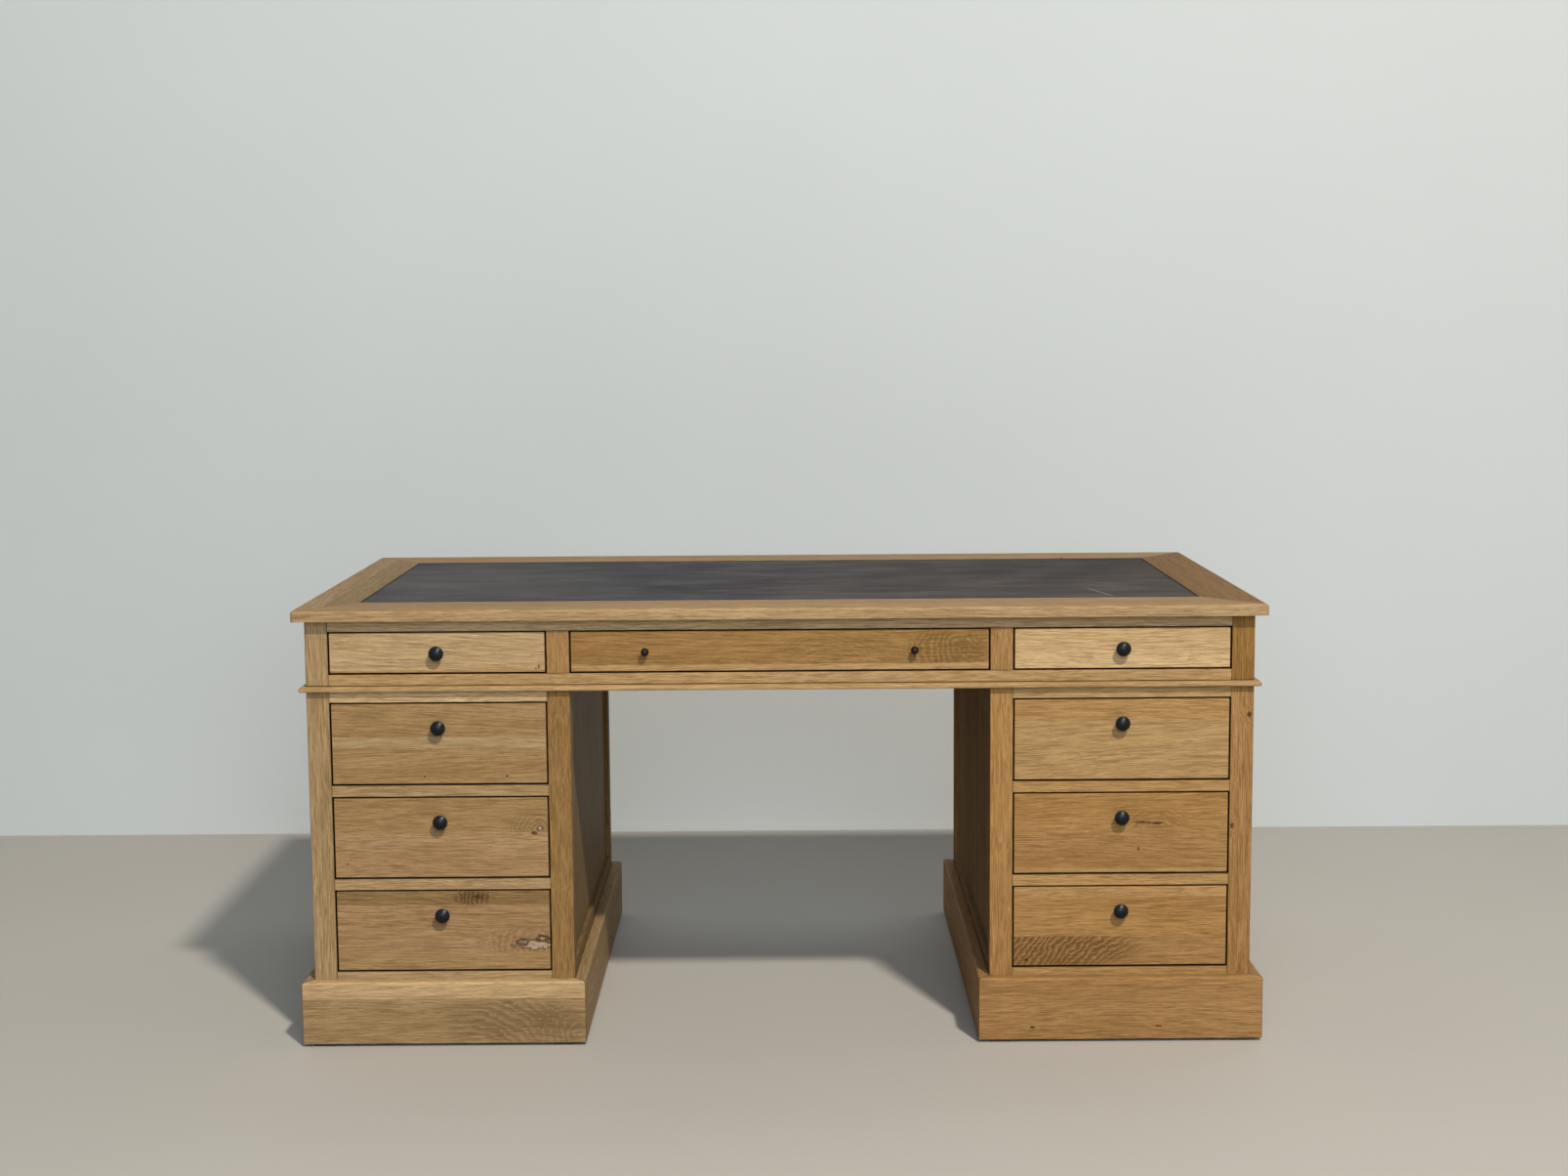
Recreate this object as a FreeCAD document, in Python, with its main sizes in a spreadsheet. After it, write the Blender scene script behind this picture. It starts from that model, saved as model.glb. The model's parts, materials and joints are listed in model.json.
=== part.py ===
import FreeCAD, Part
import math
import os
import Sketcher
from FreeCAD import Rotation, Vector
from types import SimpleNamespace

# Kneehole desk of solid oak: a leather-topped slab on a frieze of three drawers, carried by two
# pedestals of three drawers each. Lengths are millimetres. X is the length of the desk, -Y its
# front and +Z up. The origin lies on the floor under the middle of the desk.

SIZES = {
    # Whole desk
    "overall_width": 1700,
    "overall_depth": 900,
    "overall_height": 780,
    "pedestal_width": 462,
    "post_size": 40,
    "post_round": 2,
    "board_thickness": 22,
    # Top
    "top_thickness": 20,
    "top_overhang": 20,
    "top_side_border": 100,
    "top_front_border": 115,
    "top_corner_round": 6,
    "top_upper_round": 6,
    "tongue_thickness": 6,
    "tongue_length": 8,
    "leather_thickness": 1.5,
    "leather_sink": 0.4,
    "leather_edge_gap": 0.8,
    # Frieze
    "frieze_top_rail_height": 20,
    "frieze_opening_height": 75.5,
    "frieze_bottom_rail_height": 30,
    "partition_thickness": 20,
    "glue_block_size": 30,
    "glue_block_length": 70,
    # Bead round the foot of the frieze
    "bead_projection": 11,
    "bead_height": 9.5,
    "bead_upper_round": 6,
    "bead_lower_round": 2.5,
    # Pedestals
    "pedestal_top_rail_height": 20,
    "pedestal_mid_rail_height": 20.5,
    "pedestal_bottom_rail_height": 40,
    "bottom_rail_show": 14.5,
    "side_top_rail_height": 60,
    "side_bottom_rail_height": 70,
    "side_bottom_rail_show": 25,
    "panel_thickness": 8,
    "panel_recess": 8,
    "panel_groove_depth": 8,
    "panel_edge_gap": 1,
    "bottom_board_thickness": 12,
    # Plinths and glides
    "plinth_thickness": 20,
    "plinth_height": 112,
    "plinth_round": 5,
    "glide_height": 5,
    "glide_width": 38,
    "glide_side_inset": 40,
    "glide_end_inset": 24,
    # Tenons on the rails, and the loose tenons between pedestals and frieze
    "tenon_length": 10,
    "tenon_thickness": 8,
    "tenon_shoulder": 5,
    "tenon_face_inset": 7,
    "rail_tenon_depth": 20,
    "rail_tenon_inset": 10,
    "loose_tenon_width": 14,
    "loose_tenon_length": 40,
    "loose_tenon_inset": 12,
    # Runners, guides, kickers and stops
    "runner_width": 30,
    "runner_height": 18,
    "runner_set_back": 10,
    "guide_height": 14,
    "stop_width": 30,
    "stop_height": 5,
    "stop_place_share": 0.25,
    # Drawers
    "drawer_depth": 640,
    "drawer_front_thickness": 20,
    "drawer_side_thickness": 12,
    "drawer_back_thickness": 12,
    "drawer_bottom_thickness": 6,
    "drawer_bottom_lift": 10,
    "drawer_groove_depth": 6,
    "drawer_side_drop": 6,
    "drawer_front_round": 1,
    # Dovetails
    "dovetail_lap": 6,
    "dovetail_pin_width": 10,
    "dovetail_slope_share": 0.167,
    "pedestal_drawer_tails": 4,
    "frieze_drawer_tails": 2,
    # Knobs
    "knob_drop": 44,
    "knob_diameter": 26,
    "knob_projection": 20,
    "knob_foot_diameter": 15,
    "knob_foot_thickness": 2.5,
    "knob_neck_diameter": 9.5,
    "knob_neck_length": 8,
    "knob_rim_low": 12,
    "knob_rim_thickness": 2.5,
    "small_knob_place_share": 0.639,
    "small_knob_diameter": 14,
    "small_knob_projection": 18,
    "small_knob_foot_diameter": 9,
    "small_knob_foot_thickness": 1.5,
    "small_knob_neck_diameter": 6,
    # Clearances
    "front_gap": 2.8,
    "running_gap": 0.3,
    "guide_gap": 0.5,
    "glue_gap": 0.05,
    "tenon_end_gap": 0.5,
    # One overrun for every cut
    "overrun": 3,
}

# How near an edge's coordinate has to be to a level to count as lying on it
MATCH = 1e-4

# The flats round a turned piece, and the points of its dome or ball as shares of its radius
FLATS = 16
DOME_SHARES = (0.82, 0.55, 0.25)
BALL_ANGLES = (-50, -20, 20, 50, 75)


class Length:
    """A length with the formula that gives it, so that a sum of lengths stays bound to the sheet."""

    def __init__(self, value, formula):
        self.value = value
        self.formula = formula

    def __add__(self, other):
        value, formula = terms(other)
        return Length(self.value + value, f"({self.formula} + {formula})")

    def __sub__(self, other):
        value, formula = terms(other)
        return Length(self.value - value, f"({self.formula} - {formula})")

    def __mul__(self, other):
        value, formula = terms(other)
        return Length(self.value * value, f"({self.formula} * {formula})")

    def __truediv__(self, other):
        value, formula = terms(other)
        return Length(self.value / value, f"({self.formula} / {formula})")

    def __neg__(self):
        return Length(-self.value, f"(0 - {self.formula})")


def terms(length):
    """The value and the formula of a Length or of a plain number."""
    if isinstance(length, Length):
        return length.value, length.formula
    return length, str(length)


def in_order(one, other):
    """Two levels, the lower one first."""
    if terms(one)[0] < terms(other)[0]:
        return one, other
    return other, one


# The sheet of driving sizes
doc = FreeCAD.newDocument("KneeholeDesk")
sheet = doc.addObject("Spreadsheet::Sheet", "Sizes")
size = SimpleNamespace()
for row, (name, value) in enumerate(SIZES.items(), start=1):
    sheet.set(f"A{row}", name)
    sheet.set(f"B{row}", str(value))
    sheet.setAlias(f"B{row}", name)
    setattr(size, name, Length(value, f"Sizes.{name}"))
doc.recompute()

nodes = []


def bind(thing, setting, length):
    """Sets a property by the formula of a length."""
    thing.setExpression(setting, terms(length)[1])


def board(name, x, y, z):
    """A square-edged board between the low and the high face given along each axis."""
    box = doc.addObject("Part::Box", name)
    for axis, side, (low, high) in zip("xyz", ("Length", "Width", "Height"), (x, y, z)):
        bind(box, f"Placement.Base.{axis}", low)
        bind(box, side, high - low)
    return box


def cut(name, piece, tools):
    """A piece less the spaces that the tools take up."""
    spaces = doc.addObject("Part::Compound", f"{name}_spaces")
    spaces.Links = tools
    result = doc.addObject("Part::Cut", name)
    result.Base = piece
    result.Tool = spaces
    return result


def with_tongue(name, piece, tongue):
    """A piece and the tongue or tenons that stand out from it, in one."""
    result = doc.addObject("Part::Fuse", name)
    result.Base = piece
    result.Tool = tongue
    return result


def mirror(name, piece):
    """The same piece on the other side of the plane X = 0."""
    copy = doc.addObject("Part::Mirroring", name)
    copy.Source = piece
    copy.Normal = Vector(1, 0, 0)
    return copy


def node(label, pieces, x=0, y=0, z=0):
    """A named part of the desk that holds the given pieces, set down at x, y, z."""
    group = doc.addObject("Part::Compound", label)
    group.Label = label
    group.Links = pieces
    for axis, length in zip("xyz", (x, y, z)):
        bind(group, f"Placement.Base.{axis}", length)
    nodes.append(group)
    return group


def mirrored_node(label, source):
    """A named part that is the mirror image of another."""
    copy = mirror(label, source)
    copy.Label = label
    nodes.append(copy)
    return copy


def new_body(name):
    return doc.addObject("PartDesign::Body", name)


def sketch_across(body, name, axis, low, high):
    """An empty sketch square to an axis, on the face that an extrusion from low to high starts from."""
    role = {"x": "YZ_Plane", "y": "XZ_Plane", "z": "XY_Plane"}[axis]
    sketch = body.newObject("Sketcher::SketchObject", name)
    plane = next(part for part in body.Origin.OriginFeatures if part.Role == role)
    sketch.AttachmentSupport = [(plane, "")]
    sketch.MapMode = "FlatFace"
    # A sketch square to Y looks along -Y, so its extrusion starts at the high face
    bind(sketch, "AttachmentOffset.Base.z", -high if axis == "y" else low)
    return sketch


def draw_outline(sketch, corners):
    """A closed outline of straight sides, each corner held by its distances from the sketch's origin."""
    points = [Vector(terms(across)[0], terms(up)[0], 0) for across, up in corners]
    for start, end in zip(points, points[1:] + points[:1]):
        sketch.addGeometry(Part.LineSegment(start, end))
    for side in range(len(points)):
        after = (side + 1) % len(points)
        sketch.addConstraint(Sketcher.Constraint("Coincident", side, 2, after, 1))
    for side, corner in enumerate(corners):
        for kind, length in zip(("DistanceX", "DistanceY"), corner):
            value, formula = terms(length)
            number = sketch.addConstraint(Sketcher.Constraint(kind, -1, 1, side, 1, value))
            sketch.renameConstraint(number, f"{kind}{side}")
            sketch.setExpression(f"Constraints.{kind}{side}", formula)


def extrude(kind, body, sketch, low, high):
    """A Pad or a Pocket that fills the sketch's outline from low to high."""
    feature = body.newObject(f"PartDesign::{kind}", f"{sketch.Name}_{kind}")
    feature.Profile = sketch
    feature.Reversed = kind == "Pocket"
    bind(feature, "Length", high - low)
    body.Tip = feature
    return feature


def pad(body, name, axis, corners, low, high):
    sketch = sketch_across(body, name, axis, low, high)
    draw_outline(sketch, corners)
    return extrude("Pad", body, sketch, low, high)


def pocket(body, name, axis, corners, low, high):
    sketch = sketch_across(body, name, axis, low, high)
    draw_outline(sketch, corners)
    return extrude("Pocket", body, sketch, low, high)


def repeat_up(body, feature, count, pitch):
    """Repeats a cut upwards, the given number of times in all."""
    pattern = body.newObject("PartDesign::LinearPattern", f"{feature.Name}_row")
    upright = next(part for part in body.Origin.OriginFeatures if part.Role == "Z_Axis")
    pattern.Originals = [feature]
    pattern.Direction = (upright, [""])
    bind(pattern, "Length", pitch * (count - 1))
    bind(pattern, "Occurrences", count)
    body.Tip = pattern
    return pattern


def round_edges(body, name, radius, is_chosen):
    """Rounds the edges of a body whose bounding box passes the test."""
    doc.recompute()
    base = body.Tip
    edges = enumerate(base.Shape.Edges, start=1)
    chosen = [f"Edge{number}" for number, edge in edges if is_chosen(edge.BoundBox)]
    fillet = body.newObject("PartDesign::Fillet", name)
    fillet.Base = (base, chosen)
    bind(fillet, "Radius", radius)
    body.Tip = fillet
    return fillet


def lies_at(low, high, level):
    """True where both ends of an edge's extent along an axis are at the level."""
    return abs(low - terms(level)[0]) < MATCH and abs(high - terms(level)[0]) < MATCH


def rectangle(across, up):
    """The corners of a rectangle between two levels each way."""
    return [(across[0], up[0]), (across[1], up[0]), (across[1], up[1]), (across[0], up[1])]


# Levels that several parts share
side_face = size.overall_width / 2 - size.top_overhang
front_face = size.overall_depth / 2 - size.top_overhang
slab_low = size.overall_height - size.top_thickness
kneehole_side = side_face - size.pedestal_width
opening_inner = kneehole_side + size.post_size
opening_outer = side_face - size.post_size
opening_width = opening_outer - opening_inner
side_drawer_middle = (opening_inner + opening_outer) / 2
frieze_opening_top = slab_low - size.frieze_top_rail_height
frieze_opening_low = frieze_opening_top - size.frieze_opening_height
frieze_low = frieze_opening_low - size.frieze_bottom_rail_height
plinth_top = size.glide_height + size.plinth_height
bottom_rail_top = plinth_top + size.bottom_rail_show
pedestal_opening_top = frieze_low - size.pedestal_top_rail_height
PEDESTAL_ROWS = 3
mid_rails = size.pedestal_mid_rail_height * (PEDESTAL_ROWS - 1)
pedestal_opening_height = (pedestal_opening_top - bottom_rail_top - mid_rails) / PEDESTAL_ROWS
row_pitch = pedestal_opening_height + size.pedestal_mid_rail_height
opening_lows = [bottom_rail_top + row_pitch * row for row in (2, 1, 0)]
behind_posts = -front_face + size.post_size


def mitred_frame(name, outer, inner, low, high, upper_round, corner_round=None, lower_round=None,
                 groove=None):
    """Four mitred boards round an opening: front, back, left and right. The outer and inner
    rectangles are each a span along X and one along Y. A groove is its floor and its two levels."""
    ring = new_body(f"{name}_ring")
    pad(ring, f"{name}_block", "z", rectangle(*outer), low, high)
    if corner_round is not None:
        round_edges(ring, f"{name}_corners", corner_round, lambda box: box.ZLength > MATCH)
    round_edges(ring, f"{name}_upper_arris", upper_round, lambda box: lies_at(box.ZMin, box.ZMax, high))
    if lower_round is not None:
        round_edges(ring, f"{name}_lower_arris", lower_round,
                    lambda box: lies_at(box.ZMin, box.ZMax, low))
    through = (low - size.overrun, high + size.overrun)
    pocket(ring, f"{name}_opening", "z", rectangle(*inner), *through)
    if groove is not None:
        floor, levels = groove
        pocket(ring, f"{name}_groove", "z", rectangle(*floor), *levels)
    (left, right), (front, back) = outer
    (inner_left, inner_right), (inner_front, inner_back) = inner
    wedges = {
        "front": [(left, front), (right, front), (inner_right, inner_front), (inner_left, inner_front)],
        "back": [(right, back), (left, back), (inner_left, inner_back), (inner_right, inner_back)],
        "left": [(left, back), (left, front), (inner_left, inner_front), (inner_left, inner_back)],
        "right": [(right, front), (right, back), (inner_right, inner_back), (inner_right, inner_front)],
    }
    pieces = {}
    for side, corners in wedges.items():
        wedge = new_body(f"{name}_{side}_wedge")
        pad(wedge, f"{name}_{side}_wedge_outline", "z", corners, *through)
        piece = doc.addObject("Part::Common", f"{name}_{side}")
        piece.Base = ring
        piece.Tool = wedge
        pieces[side] = piece
    return pieces


def make_top():
    """The mitred border boards, the core panel tongued into them and the leather on it."""
    half_width = size.overall_width / 2
    half_depth = size.overall_depth / 2
    core_x = half_width - size.top_side_border
    core_y = half_depth - size.top_front_border
    tongue_low = slab_low + (size.top_thickness - size.tongue_thickness) / 2
    tongue_high = tongue_low + size.tongue_thickness
    groove_x = core_x + size.tongue_length
    groove_y = core_y + size.tongue_length
    boards = mitred_frame(
        "border",
        ((-half_width, half_width), (-half_depth, half_depth)),
        ((-core_x, core_x), (-core_y, core_y)),
        slab_low, size.overall_height,
        size.top_upper_round, corner_round=size.top_corner_round,
        groove=(((-groove_x, groove_x), (-groove_y, groove_y)), (tongue_low, tongue_high)))
    for side, piece in boards.items():
        node(f"top_{side}_board", [piece])
    leather_top = size.overall_height - size.leather_sink
    core_high = leather_top - size.leather_thickness
    fit = size.glue_gap
    panel = board("core_panel", (-core_x + fit, core_x - fit), (-core_y + fit, core_y - fit),
                  (slab_low, core_high))
    tongue = board("core_tongue", (-groove_x + size.panel_edge_gap, groove_x - size.panel_edge_gap),
                   (-groove_y + size.panel_edge_gap, groove_y - size.panel_edge_gap),
                   (tongue_low + fit, tongue_high - fit))
    node("top_core_panel", [with_tongue("tongued_core", panel, tongue)])
    edge_x = core_x - size.leather_edge_gap
    edge_y = core_y - size.leather_edge_gap
    node("leather_inset", [board("leather", (-edge_x, edge_x), (-edge_y, edge_y),
                                 (core_high, leather_top))])


def loose_tenon_span(x, end, gap):
    """The span along X and Y of a loose tenon and the gap round it. Its middle is at x, and it is
    near the front (end -1) or the back (end 1)."""
    half_width = size.loose_tenon_width / 2 + gap
    half_depth = size.tenon_thickness / 2 + gap
    y = (front_face - size.loose_tenon_inset) * end
    return (x - half_width, x + half_width), (y - half_depth, y + half_depth)


def mortise_tool(name, x, end, levels):
    """The space that a loose tenon's mortise takes up in a board."""
    return board(name, *loose_tenon_span(x, end, size.glue_gap), levels)


def make_post(name, side, end, low, high, mortise_levels, sockets):
    """A square post with its outer corner at side, which is signed by the way it faces, and at the
    front (end -1) or the back (end 1). It has a mortise for a loose tenon in one end, and the
    mortises and grooves for its rails and panels, given as X, Y, Z spans."""
    face_x, toward = side
    inner_x = face_x - size.post_size * toward
    face_y = front_face * end
    inner_y = face_y - size.post_size * end
    post = new_body(name)
    pad(post, f"{name}_block", "z", rectangle(in_order(inner_x, face_x), in_order(inner_y, face_y)),
        low, high)
    round_edges(post, f"{name}_arris", size.post_round,
                lambda box: lies_at(box.XMin, box.XMax, face_x) and lies_at(box.YMin, box.YMax, face_y))
    middle = face_x - size.post_size / 2 * toward
    mortise = loose_tenon_span(middle, end, size.glue_gap)
    pocket(post, f"{name}_mortise", "z", rectangle(*mortise), *mortise_levels)
    for number, (x, y, z) in enumerate(sockets):
        pocket(post, f"{name}_socket_{number}", "z", rectangle(x, y), *z)
    return post


def loosened(span):
    """A span with the glue's gap at both ends."""
    return span[0] - size.glue_gap, span[1] + size.glue_gap


def longer(span, length):
    """A span with the given length more at both ends."""
    return span[0] - length, span[1] + length


def within(span, inset):
    """A span with the given inset at both ends."""
    return span[0] + inset, span[1] - inset


def socket_span(face, away):
    """The depth of a mortise in a post, from the face that a rail meets it at. Away is the way in."""
    return in_order(face - size.overrun * away, face + (size.tenon_length + size.tenon_end_gap) * away)


def tenoned(name, rail, x, y, z):
    """A rail with a tenon at each end, given as the spans of the board that both are part of."""
    return with_tongue(name, rail, board(f"{name}_tenons", x, y, z))


mortise_depth = size.loose_tenon_length / 2 + size.glue_gap
mortise_in_frieze = (frieze_low - size.overrun, frieze_low + mortise_depth)
mortise_in_pedestal = (frieze_low - mortise_depth, frieze_low + size.overrun)
inner_post_middle = kneehole_side + size.post_size / 2
outer_post_middle = side_face - size.post_size / 2
front_rail_y = (-front_face, behind_posts)
front_tenon_y = (-front_face + size.rail_tenon_inset,
                 -front_face + size.rail_tenon_inset + size.rail_tenon_depth)


def make_frieze():
    """The frame under the top that holds the upper row of drawers."""
    behind_back = front_face - size.board_thickness
    between_posts = (-opening_outer, opening_outer)
    beside_posts = (behind_posts, -behind_posts)
    behind_face = (size.tenon_face_inset + size.tenon_thickness, size.tenon_face_inset)
    end_tenon_x = (side_face - behind_face[0], side_face - behind_face[1])
    back_tenon_y = (front_face - behind_face[0], front_face - behind_face[1])
    upper_z = (frieze_opening_top, slab_low)
    lower_z = (frieze_low, frieze_opening_low)
    whole_z = (frieze_low, slab_low)
    shoulder = size.tenon_shoulder

    rail_socket_x = socket_span(opening_outer, 1)
    front_sockets = [(rail_socket_x, loosened(front_tenon_y), loosened(within(z, shoulder)))
                     for z in (upper_z, lower_z)]
    back_sockets = [(rail_socket_x, loosened(back_tenon_y), loosened(within(whole_z, shoulder)))]
    corners = []
    for place, end, sockets in (("front", -1, front_sockets), ("back", 1, back_sockets)):
        sockets.append((loosened(end_tenon_x), socket_span(-behind_posts * end, end),
                        loosened(within(whole_z, shoulder))))
        corners.append(make_post(f"frieze_{place}_post", (side_face, 1), end, frieze_low, slab_low,
                                 mortise_in_frieze, sockets))
    opposite = [mirror(f"{post.Name}_left", post) for post in corners]
    node("frieze_corner_posts", corners + opposite)

    tenon_x = longer(between_posts, size.tenon_length)
    rails = []
    for place, z in (("upper", upper_z), ("lower", lower_z)):
        rail = board(f"frieze_{place}_rail_board", between_posts, front_rail_y, z)
        rails.append(tenoned(f"frieze_{place}_rail", rail, tenon_x, front_tenon_y, within(z, shoulder)))
    front_mortises = [mortise_tool(f"frieze_rail_mortise_{way}", inner_post_middle * sign, -1,
                                   mortise_in_frieze)
                      for way, sign in (("right", 1), ("left", -1))]
    node("frieze_front_rails", [rails[0], cut("frieze_mortised_rail", rails[1], front_mortises)])

    stile = board("frieze_stile_right", (kneehole_side, opening_inner), front_rail_y,
                  (frieze_opening_low, frieze_opening_top))
    node("frieze_front_stiles", [stile, mirror("frieze_stile_left", stile)])

    end_plain = board("frieze_end_plain", (side_face - size.board_thickness, side_face),
                      beside_posts, whole_z)
    end_board = tenoned("frieze_end_right", end_plain, end_tenon_x,
                        longer(beside_posts, size.tenon_length), within(whole_z, shoulder))
    node("frieze_end_boards", [end_board, mirror("frieze_end_left", end_board)])

    back_plain = board("frieze_back_plain", between_posts, (behind_back, front_face), whole_z)
    back_tenoned = tenoned("frieze_back_tenoned", back_plain, tenon_x, back_tenon_y,
                           within(whole_z, shoulder))
    back_mortises = [mortise_tool(f"frieze_back_mortise_{way}", inner_post_middle * sign, 1,
                                  mortise_in_frieze)
                     for way, sign in (("right", 1), ("left", -1))]
    node("frieze_back_board", [cut("frieze_back", back_tenoned, back_mortises)])

    half_partition = size.partition_thickness / 2
    partition = board("partition_right",
                      (inner_post_middle - half_partition, inner_post_middle + half_partition),
                      (behind_posts, behind_back), whole_z)
    node("frieze_partitions", [partition, mirror("partition_left", partition)])

    blocks = []
    for place, x in (("outer", side_drawer_middle), ("inner", kneehole_side / 2)):
        block = board(f"glue_block_{place}",
                      (x - size.glue_block_length / 2, x + size.glue_block_length / 2),
                      (behind_back - size.glue_block_size, behind_back),
                      (slab_low - size.glue_block_size, slab_low))
        blocks += [block, mirror(f"glue_block_{place}_left", block)]
    node("top_glue_blocks", blocks)

    pieces = []
    sides = (("outer", opening_outer, -1, -behind_posts), ("inner", opening_inner, 1, behind_back),
             ("centre", kneehole_side, -1, behind_back))
    for place, x, inward, back_end in sides:
        run = (behind_posts, back_end)
        pieces += runner_pieces(f"frieze_{place}", x, inward, frieze_opening_low, run)
        pieces.append(kicker(f"frieze_{place}", x, inward, upper_z, run))
    node("frieze_runners", pieces + [mirror(f"{piece.Name}_left", piece) for piece in pieces])


def runner_pieces(name, x, inward, level, y):
    """A runner under one side of a drawer opening and the guide beside it. The opening's side is
    at x, and inward is the way to the middle of the opening."""
    back = x - size.runner_set_back * inward
    runner = board(f"{name}_runner", in_order(back, back + size.runner_width * inward), y,
                   (level - size.runner_height, level))
    guide_face = x + (size.front_gap - size.guide_gap) * inward
    guide = board(f"{name}_guide", in_order(back, guide_face), y, (level, level + size.guide_height))
    return [runner, guide]


def kicker(name, x, inward, z, y):
    """The strip above one side of a drawer, which keeps it from tipping as it is pulled out."""
    back = x - size.runner_set_back * inward
    return board(f"{name}_kicker", in_order(back, back + size.runner_width * inward), y, z)


def make_bead():
    """The round-nosed bead in four mitred lengths round the foot of the frieze."""
    out_x = side_face + size.bead_projection
    out_y = front_face + size.bead_projection
    lengths = mitred_frame(
        "bead", ((-out_x, out_x), (-out_y, out_y)),
        ((-side_face, side_face), (-front_face, front_face)),
        frieze_low, frieze_low + size.bead_height,
        size.bead_upper_round, lower_round=size.bead_lower_round)
    node("frieze_bead", list(lengths.values()))


def make_pedestal():
    """The right pedestal, and the left one as its mirror image."""
    foot = size.glide_height
    depth = size.panel_groove_depth
    edge = depth - size.panel_edge_gap
    shoulder = size.tenon_shoulder
    rail_low = frieze_low - size.side_top_rail_height
    rail_high = plinth_top + size.side_bottom_rail_show
    rail_foot = rail_high - size.side_bottom_rail_height
    panel_z = (rail_high - edge, rail_low + edge)
    groove_z = (rail_high - depth, rail_low + depth)
    upper_z, lower_z = (rail_low, frieze_low), (rail_foot, rail_high)
    upper_tenon_z = (groove_z[1], frieze_low - shoulder)
    lower_tenon_z = (rail_foot + shoulder, groove_z[0])
    post_groove_z = loosened((lower_tenon_z[0], upper_tenon_z[1]))
    between = (behind_posts, -behind_posts)
    opening_x = (opening_inner, opening_outer)

    def panel_span(face, toward):
        """The span of a panel's thickness behind a face that looks the way toward."""
        outer = face - size.panel_recess * toward
        return in_order(outer, outer - size.panel_thickness * toward)

    def framed(place, rail_spans, slot_spans, panel_spans):
        """The two rails and the panel of one side, by their spans along X and Y. The rails' stub
        tenons fill the posts' grooves above and below the panel."""
        levels = (("upper", upper_z, (rail_low - size.overrun, groove_z[1]), upper_tenon_z),
                  ("lower", lower_z, (groove_z[0], rail_high + size.overrun), lower_tenon_z))
        pair = []
        for rail, z, slot_z, tenon_z in levels:
            name = f"{place}_{rail}_rail"
            blank = board(f"{name}_blank", *rail_spans, z)
            grooved = cut(f"{name}_grooved", blank, [board(f"{name}_slot", *slot_spans, slot_z)])
            pair.append(tenoned(name, grooved, *panel_spans, tenon_z))
        return pair, board(f"{place}_panel", *panel_spans, panel_z)

    faces = (("inner", kneehole_side, -1), ("outer", side_face, 1))
    back_y = panel_span(front_face, 1)
    front_rail_z = [(pedestal_opening_top, frieze_low)]
    front_rail_z += [(level - size.pedestal_mid_rail_height, level) for level in opening_lows[:-1]]
    front_rail_z.append((bottom_rail_top - size.pedestal_bottom_rail_height, bottom_rail_top))
    posts, rails, panels = [], [], []
    for place, face, toward in faces:
        side_x = panel_span(face, toward)
        inner_face = face - size.post_size * toward
        for ending, end in (("front", -1), ("back", 1)):
            groove_ends = in_order(behind_posts * -end + depth * end,
                                   behind_posts * -end - size.overrun * end)
            sockets = [(loosened(side_x), groove_ends, post_groove_z)]
            if end == 1:
                into_post = in_order(inner_face + depth * toward, inner_face - size.overrun * toward)
                sockets.append((into_post, loosened(back_y), post_groove_z))
            else:
                sockets += [(socket_span(inner_face, toward), loosened(front_tenon_y),
                             loosened(within(z, shoulder))) for z in front_rail_z]
            posts.append(make_post(f"{place}_{ending}_post", (face, toward), end, foot, frieze_low,
                                   mortise_in_pedestal, sockets))
        rail_x = in_order(face, face - size.board_thickness * toward)
        pair, panel = framed(place, (rail_x, between), (loosened(side_x), between),
                             (side_x, longer(between, edge)))
        rails += pair
        panels.append(panel)
    back_rail_y = (front_face - size.board_thickness, front_face)
    pair, panel = framed("back", (opening_x, back_rail_y), (opening_x, loosened(back_y)),
                         (longer(opening_x, edge), back_y))
    rails += pair
    panels.append(panel)

    front_rails = []
    for number, z in enumerate(front_rail_z, start=1):
        rail = board(f"front_rail_{number}_board", opening_x, front_rail_y, z)
        front_rails.append(tenoned(f"front_rail_{number}", rail, longer(opening_x, size.tenon_length),
                                   front_tenon_y, within(z, shoulder)))

    dust_low = front_rail_z[-1][0]
    floor = board("dust_board",
                  (kneehole_side + size.board_thickness, side_face - size.board_thickness), between,
                  (dust_low, dust_low + size.bottom_board_thickness))

    runners = []
    for place, x, inward in (("inner", opening_inner, 1), ("outer", opening_outer, -1)):
        for row, level in enumerate(opening_lows):
            runners += runner_pieces(f"pedestal_{place}_{row + 1}", x, inward, level, between)
        runners.append(kicker(f"pedestal_{place}", x, inward, (pedestal_opening_top, frieze_low),
                              between))

    over = size.plinth_thickness
    plinth = mitred_frame(
        "plinth", ((kneehole_side - over, side_face + over), (-front_face - over, front_face + over)),
        ((kneehole_side, side_face), (-front_face, front_face)),
        foot, plinth_top, size.plinth_round)

    contents = {
        "posts": posts,
        "front_rails": front_rails,
        "frame_rails": rails,
        "panels": panels,
        "bottom_board": [floor],
        "runners": runners,
        "plinth": list(plinth.values()),
    }
    for part, pieces in contents.items():
        right = node(f"right_pedestal_{part}", pieces)
        mirrored_node(f"left_pedestal_{part}", right)


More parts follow.
